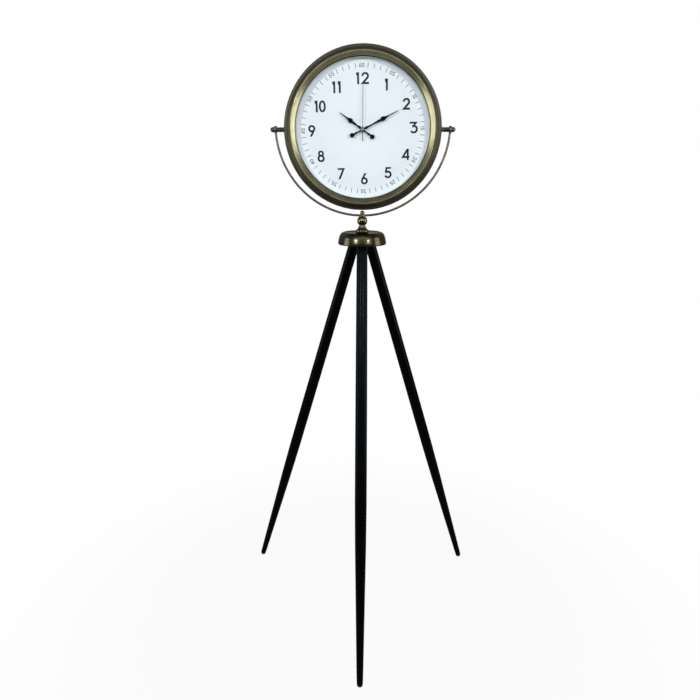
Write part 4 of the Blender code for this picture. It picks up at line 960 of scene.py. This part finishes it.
# Some numerals sit a few millimetres off their ring, to look evenly spaced (across, up)
nudges = {
    2: (1, -3), 3: (0, 2), 5: (2.5, -1), 6: (2, 1), 7: (3.5, -1), 10: (2, -4), 11: (-2.5, -3),
    12: (1.5, 0),
}
hour_gaps = {"11": 0.23, "12": 0.11, "10": 0.10, "any": 0.1}
hours = []
for hour in range(1, 13):
    drawn = number_pieces(str(hour), weight=0.178, gaps=hour_gaps)
    # The upright numerals stand further out at three and nine, where they are narrow
    reach = hour_circle + side_reach * math.sin(math.radians(hour * 30)) ** 6
    hours.append(around(drawn, hour_height, reach, hour * 30, False, nudges.get(hour, (0, 0))))
charcoal_ink = ink("charcoal_ink", (0.017, 0.021, 0.030), (0.025, 0.030, 0.041))
hour_print = printed_mesh("hour_numerals", hours, *ink_layer)
fit("hour_numerals", hour_print, charcoal_ink, "head", "black_hand_paint")
minutes = []
# A minute's mark is a plain bar, one unit long until it is sized as the numbers are
half_wide, half_long = 0.055, 0.5
mark = [(-half_wide, -half_long), (half_wide, -half_long), (half_wide, half_long), (-half_wide, half_long)]
mark = [Vector(corner) for corner in mark]
for minute in range(1, 61):
    if minute % 5:
        drawn, height = [mark], mark_length
    else:
        drawn, height = number_pieces(f"{minute:02d}", weight=0.135, gaps={"any": 0.14}), minute_height
    minutes.append(around(drawn, height, minute_circle, minute * 6, True))
grey_ink = ink("grey_ink", (0.025, 0.032, 0.041), (0.038, 0.046, 0.057))
minute_print = printed_mesh("minute_ring", minutes, *ink_layer)
fit("minute_ring", minute_print, grey_ink, "head", "grey_hand_paint")


# Backing board and gasket: a disc of brown hardboard that stiffens the dial, and the rubber
# washer that the movement presses against it.
hardboard, tree, shader = new_finish("hardboard", 0.8, 0.0, 0.25)
marks = skin_marks(tree, places(tree), 900.0, 40.0)
squashed = mapped(tree, places(tree), "Scale", (1, 1, 0.25))
fibres = between(tree, noise(tree, squashed, 1400.0, 4.0, 0.7), 0.35, 0.7)
brown = mixed(tree, marks["Cloud"], (0.20, 0.125, 0.07), (0.15, 0.09, 0.048))
board = mixed(tree, fibres, brown, (0.30, 0.20, 0.12))
relief = arithmetic(tree, "ADD", fibres, marks["Grain"])
work_up(tree, shader, board, between(tree, marks["Grain"], 0, 1, 0.7, 0.9), relief, depth=0.00008)
dress(hardboard, "backing_board", edge=0.0004)
dress(black_rubber, "bush_gasket", edge=0.0002)


# Movement: a black moulded case with a battery bay at the bottom, its back cover over the
# wheels, and the white nut that clamps it through the dial. The case is spark-textured.
black_case = moulded(
    "black_case_plastic", (0.014, 0.014, 0.015), (0.020, 0.020, 0.021),
    roughness=0.46, grains=2400, depth=0.00005,
)
dress(black_case, "movement_housing", "movement_cover", edge=0.0005)
white_nut = moulded(
    "white_nut_plastic", (0.80, 0.84, 0.86), (0.76, 0.80, 0.82),
    roughness=0.45, grains=1800, depth=0.00002,
)
dress(white_nut, "bush_nut", edge=0.0003)

# The battery: a steel can in a printed sleeve, bare at its ends, with the contact nub on one end
battery_radius, battery_half, nub_radius, nub_length = 0.0071, 0.02525, 0.0028, 0.001
battery_middle = head_middle + Vector((0, 0.0216, -0.0191))
shoulder = battery_half - nub_length
flat_end, flat_radius = -battery_half, battery_radius - 0.0008
battery = [
    (0, flat_end), (flat_radius, flat_end), (flat_radius, flat_end + 0.0004),
    (battery_radius, flat_end + 0.0009), (battery_radius, shoulder - 0.0006),
    (battery_radius - 0.0007, shoulder), (nub_radius + 0.0004, shoulder),
    (nub_radius, shoulder + 0.0002), (nub_radius, battery_half), (0, battery_half),
]
sleeve, tree, shader = new_finish("battery_sleeve", 0.3, 0.0)
place = about_axis(tree, "X", battery_middle)
along = add_node(tree, "ShaderNodeSeparateXYZ", {0: place}).outputs["Z"]
reach = arithmetic(tree, "ABSOLUTE", along)
bare = between(tree, reach, shoulder - 0.0012, shoulder - 0.0010)
band = times(tree, between(tree, along, 0.0120, 0.0122), between(tree, along, 0.0150, 0.0152, 1, 0))
marks = skin_marks(tree, place, 1800.0, 60.0)
blue = mixed(tree, marks["Cloud"], (0.035, 0.115, 0.28), (0.030, 0.095, 0.235))
printed = mixed(tree, band, blue, (0.62, 0.63, 0.64))
can = mixed(tree, bare, printed, (0.60, 0.60, 0.58))
tree.links.new(arithmetic(tree, "MAXIMUM", bare, band), shader.inputs["Metallic"])
work_up(tree, shader, can, between(tree, marks["Grain"], 0, 1, 0.26, 0.34), marks["Grain"], depth=0.00001)
battery = rounded_outline(battery, soft_edge=0.0004)
fit_turned("battery_cell", battery, "X", battery_middle, 64, sleeve, "head", "battery_label", "battery")

spring_steel = moulded(
    "spring_steel", (0.60, 0.60, 0.58), (0.52, 0.52, 0.50),
    roughness=0.30, grains=1600, depth=0.00001,
)
spring_steel.node_tree.nodes["Principled BSDF"].inputs["Metallic"].default_value = 1.0
dress(spring_steel, "battery_contact_negative", "battery_contact_positive", edge=0.0001)

# The coil: enamelled copper wire wound in even layers
wire_thickness = 0.00016
wound, tree, shader = new_finish("enamelled_copper", 0.3, 1.0)
across = add_node(tree, "ShaderNodeSeparateXYZ", {0: places(tree)}).outputs["X"]
wave = arithmetic(tree, "SINE", times(tree, across, math.pi / wire_thickness))
wire = arithmetic(tree, "ABSOLUTE", wave)
copper = mixed(tree, wire, (0.20, 0.06, 0.02), (0.70, 0.28, 0.12))
work_up(tree, shader, copper, between(tree, wire, 0, 1, 0.45, 0.25), wire, depth=0.00006)
dress(wound, "drive_coil")

# The circuit board: green solder mask over fine tracks
mask_green, tree, shader = new_finish("solder_mask", 0.35, 0.0)
pattern = {"Vector": places(tree), "Scale": 420.0}
cells = add_node(tree, "ShaderNodeTexVoronoi", pattern, distance="MANHATTAN")
tracks = between(tree, cells.outputs["Distance"], 0.42, 0.5)
green = mixed(tree, tracks, (0.015, 0.11, 0.045), (0.05, 0.22, 0.09))
work_up(tree, shader, green, between(tree, tracks, 0, 1, 0.32, 0.42), tracks, depth=0.00003)
dress(mask_green, "circuit_board", edge=0.0001)


# Wheel train: acetal wheels moulded in one with their thin arbors, the rotor with its magnet,
# and the white setting knob that stands out at the back. The mould leaves a fine grain on them.
acetal, tree, shader = new_finish("white_acetal", 0.42, 0.0)
marks = skin_marks(tree, places(tree), 1500.0, 90.0)
milky = mixed(tree, marks["Cloud"], (0.74, 0.74, 0.70), (0.66, 0.66, 0.61))
gloss = between(tree, marks["Grain"], 0, 1, 0.36, 0.48)
work_up(tree, shader, milky, gloss, marks["Grain"], depth=0.00003)
dress(acetal, "hour_wheel", "centre_wheel", "seconds_wheel", "reduction_wheel", "idler_wheel", edge=0.0001)
dress(acetal, "set_knob", edge=0.0003)
dress(spring_steel, "stepping_rotor", edge=0.0001)


# Hands: cut from thin aluminium sheet. Hour and minute hands are painted black, in an old
# pattern with a swelling and an oval bulge towards a needle tip, and a ball on the tail. The
# second hand is a plain strip painted grey.
hub_radius, tail_radius, tail_length, hand_sheet = 0.0050, 0.0052, 0.0266, 0.0008
# Rows of millimetres out from the hub's middle, and full width in millimetres
minute_leaf = [
    (0, 3.4), (5.5, 3.4), (7.5, 5.8), (9, 6.0), (12, 4.6), (17, 3.6), (24, 3.2), (31, 3.7), (38, 4.8),
    (42, 5.4), (44.8, 3.9), (47, 7.2), (49.2, 10.0), (51.2, 10.4), (54.4, 8.4), (58, 5.3), (62, 3.5),
    (72, 2.5), (88.5, 1.8),
]
hour_leaf = [
    (0, 3.4), (5.5, 3.4), (7.5, 5.8), (9, 5.9), (12, 4.0), (16, 3.3), (20, 3.9), (23.5, 5.0), (25.2, 5.2),
    (27.4, 3.9), (29.8, 7.0), (32, 9.8), (34, 10.2), (37, 8.0), (40.5, 5.0), (44.5, 3.3), (53, 2.4),
    (63.2, 1.8),
]
tail_shape = [(0, 2.9), (6, 2.9), (12, 3.1), (15, 4.0), (17, 5.2), (18.6, 4.9), (21, 3.4), (26.6, 3.4)]


def flowing_value(rows, place):
    """Reads a smooth curve through rows of (place, value) that never overshoots them."""
    slopes = [(b[1] - a[1]) / (b[0] - a[0]) for a, b in zip(rows, rows[1:])]
    ends = [0.0] * len(rows)
    for number in range(1, len(rows) - 1):
        before, after = slopes[number - 1], slopes[number]
        if before * after > 0:
            ends[number] = 2 * before * after / (before + after)
    for number, (near, far) in enumerate(zip(rows, rows[1:])):
        if near[0] <= place <= far[0]:
            span = far[0] - near[0]
            t = (place - near[0]) / span
            from_near = near[1] * (1 + 2 * t) * (1 - t) ** 2 + ends[number] * span * t * (1 - t) ** 2
            return from_near + far[1] * t * t * (3 - 2 * t) - ends[number + 1] * span * t * t * (1 - t)
    return 0.0


def thicken(bm, depth):
    """Draws flat faces forward into a sheet so many metres thick."""
    sheet = bmesh.ops.extrude_face_region(bm, geom=list(bm.faces))
    moved = [part for part in sheet["geom"] if isinstance(part, bmesh.types.BMVert)]
    bmesh.ops.translate(bm, verts=moved, vec=(0, -depth, 0))


def hand_mesh(name, length, leaf, angle, back, hole):
    """A hand cut from sheet round its hole, its edges softened, set at its angle on the dial."""
    def half_width(along):
        wide = flowing_value(leaf if along > 0 else tail_shape, abs(along) * 1000) / 2000
        for middle, radius in ((0, hub_radius), (-tail_length, tail_radius)):
            if abs(along - middle) < radius:
                wide = max(wide, math.sqrt(radius**2 - (along - middle) ** 2))
        return wide

    lowest = -tail_length - tail_radius
    steps = 260
    rows = [lowest + (length - lowest) * (step / steps) for step in range(steps + 1)]
    right = [(half_width(along), along) for along in rows[1:]]
    border = [(0, lowest), *right, *((-wide, along) for wide, along in reversed(right))]
    ring = [(hole * math.cos(math.tau * n / 40), hole * math.sin(math.tau * n / 40)) for n in range(40)]
    bm = bmesh.new()
    loops = []
    for outline in (border, ring):
        verts = [bm.verts.new((across, 0, up)) for across, up in outline]
        loops += [bm.edges.new((verts[n], verts[(n + 1) % len(verts)])) for n in range(len(verts))]
    bmesh.ops.triangle_fill(bm, edges=loops, use_beauty=True, use_dissolve=False)
    thicken(bm, hand_sheet)
    bmesh.ops.recalc_face_normals(bm, faces=bm.faces)
    square = math.radians(60)
    rims = [edge for edge in bm.edges if len(edge.link_faces) == 2 and edge.calc_face_angle() > square]
    bmesh.ops.bevel(
        bm, geom=rims, offset=0.00018, segments=2, affect="EDGES", profile=0.5, clamp_overlap=True
    )
    bm.transform(Matrix.Translation(head_middle + Vector((0, back, 0))) @ Matrix.Rotation(angle, 4, "Y"))
    return smooth_mesh(name, bm, 45)


black_hand = moulded(
    "black_hand_enamel", (0.001, 0.001, 0.0015), (0.0015, 0.0015, 0.002),
    roughness=0.55, grains=3000, depth=0.00001, specular=0.03,
)
# Each hand's length, outline, angle, place of its back, hole, and the hole of its collet
hand_sizes = (
    ("hour", 0.0632, hour_leaf, 305.3, 0.0008, 0.0028, 0.00255),
    ("minute", 0.0885, minute_leaf, 63.0, -0.0012, 0.0030, 0.0017),
)
for body, length, leaf, degrees, back, hole, _ in hand_sizes:
    mesh = hand_mesh(f"{body}_hand_cut", length, leaf, math.radians(degrees), back, hole)
    fit(f"{body}_hand_cut", mesh, black_hand, body, "black_hand_paint", f"{body}_hand")

# The pale collets pressed into the hubs, and the second hand on its dark button
collet_metal = turned_metal("collet_nickel", (0.86, 0.85, 0.83), (0.74, 0.73, 0.70), 0.42, "Y", head_middle)
for body, _, _, _, back, hole, collet_bore in hand_sizes:
    rim = rounded_outline(ring_outline(hole, collet_bore, (back, back - hand_sheet)), soft_edge=0.0001)
    fit_turned(f"{body}_collet", rim, "Y", head_middle, 48, collet_metal, body, "zinc_steel")
second_back, second_front, second_half, second_tail = -0.0032, -0.0040, 0.00066, 0.0009
second_bm = bmesh.new()
strip = [(-second_tail, -0.025), (second_tail, -0.025), (second_tail, 0.002), (second_half, 0.009)]
strip += [(second_half, 0.0955), (0.0005, 0.098), (-0.0005, 0.098), (-second_half, 0.0955)]
strip += [(-second_half, 0.009), (-second_tail, 0.002)]
second_bm.faces.new([second_bm.verts.new((across, second_back, up)) for across, up in strip])
thicken(second_bm, second_back - second_front)
bmesh.ops.bevel(
    second_bm, geom=list(second_bm.edges), offset=0.00012, segments=2, affect="EDGES", profile=0.5
)
second_bm.transform(Matrix.Translation(head_middle))
grey_hand = moulded(
    "grey_hand_paint", (0.018, 0.020, 0.023), (0.028, 0.030, 0.034),
    roughness=0.42, grains=3000, depth=0.00001, specular=0.15,
)
second_mesh = smooth_mesh("second_strip", second_bm)
fit("second_strip", second_mesh, grey_hand, "seconds", "grey_hand_paint", "second_hand")
button_radius, button_ends = 0.0016, (-0.0029, -0.0037)
button = rounded_outline(disc_outline(button_radius, button_ends), soft_edge=0.0003)
fit_turned("second_button", button, "Y", head_middle, 48, grey_hand, "seconds", "grey_hand_paint")


# Rear cover: a disc of sheet steel, powder-coated black, with a square window through which
# the battery is changed and the hands are set. Four pan-head screws hold it to the drum.
cover_radius, cover_ends, window_half = 0.1694, (0.0303, 0.0318), 0.03195
cover_sides = 192
textured_black = moulded(
    "textured_black_paint", (0.013, 0.013, 0.014), (0.019, 0.019, 0.020),
    roughness=0.5, grains=1500, depth=0.00007,
)
cover_bm = bmesh.new()
cover_rings = []
soft_edge = 0.0005
cover_path = [
    (0, cover_ends[0], soft_edge), (0, cover_ends[0] + soft_edge, 0), (0, cover_ends[1] - soft_edge, 0),
    (0, cover_ends[1], soft_edge), (1, cover_ends[1], soft_edge), (1, cover_ends[1] - soft_edge, 0),
    (1, cover_ends[0] + soft_edge, 0), (1, cover_ends[0], soft_edge),
]
for inner, y, shy in cover_path:
    ring = []
    for step in range(cover_sides):
        angle = math.tau * step / cover_sides
        way = Vector((math.cos(angle), 0, math.sin(angle)))
        square = window_half / max(abs(way.x), abs(way.z))
        reach = square + shy if inner else cover_radius - shy
        ring.append(cover_bm.verts.new(head_middle + way * reach + Vector((0, y, 0))))
    cover_rings.append(ring)
join_rings(cover_bm, cover_rings, True)
cover_mesh = smooth_mesh("painted_cover", cover_bm, 30)
fit("painted_cover", cover_mesh, textured_black, "head", "black_steel", "rear_cover")

screw_head, screw_front, screw_height, screw_circle = 0.0035, 0.0321, 0.0020, 0.1651
shank_radius, shank_end = 0.00175, screw_front - 0.0080
screw_outline = [
    (0, shank_end), (shank_radius, shank_end), (shank_radius, screw_front), (screw_head, screw_front),
    (screw_head, screw_front + 0.0007), (screw_head * 0.8, screw_front + 0.0016),
    (screw_head * 0.4, screw_front + screw_height), (0, screw_front + screw_height),
]
screw_mesh = turned_mesh("pan_screw", rounded_outline(screw_outline, soft_edge=0.0003), "Y", (0, 0, 0), 48)
cross_bm = bmesh.new()
slot_reach, slot_half = 0.0019, 0.00045
for wide, tall in ((slot_reach, slot_half), (slot_half, slot_reach)):
    made = bmesh.ops.create_cube(cross_bm, size=2)
    for vert in made["verts"]:
        deep = vert.co.y < 0
        across, up = (max(slot_half, half * (0.5 if deep else 1)) for half in (wide, tall))
        vert.co = (vert.co.x * across, screw_front + (0.0006 if deep else 0.0026), vert.co.z * up)
cross_mesh = bpy.data.meshes.new("cross_cutter")
cross_bm.to_mesh(cross_mesh)
cross_bm.free()
blank = bpy.data.objects.new("screw_blank", screw_mesh)
cutter = bpy.data.objects.new("cross_cutter", cross_mesh)
for thing in (blank, cutter):
    bpy.context.scene.collection.objects.link(thing)
recess = blank.modifiers.new("cross_recess", "BOOLEAN")
recess.operation = "DIFFERENCE"
recess.solver = "EXACT"
recess.use_self = True
recess.object = cutter
bpy.context.view_layer.update()
cut_mesh = bpy.data.meshes.new_from_object(blank.evaluated_get(bpy.context.evaluated_depsgraph_get()))
bpy.data.objects.remove(blank)
bpy.data.objects.remove(cutter)
screw_zinc = turned_metal("screw_zinc", (0.60, 0.60, 0.57), (0.40, 0.40, 0.38), 0.32, "Y", (0, 0, 0))
cut_mesh.materials.clear()
cut_mesh.materials.append(screw_zinc)
cut_mesh.set_sharp_from_angle(angle=math.radians(38))
for number in range(4):
    angle = math.tau * (number + 0.5) / 4
    screw = bpy.data.objects.new(f"pan_screw_{number + 1}", cut_mesh)
    screw.location = head_middle + Vector((math.cos(angle), 0, math.sin(angle))) * screw_circle
    screw.rotation_euler = (0, 0.4 + 0.9 * number, 0)
    bpy.context.scene.collection.objects.link(screw)
    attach(screw, "head")
    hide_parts(f"cover_screw_{number + 1}")
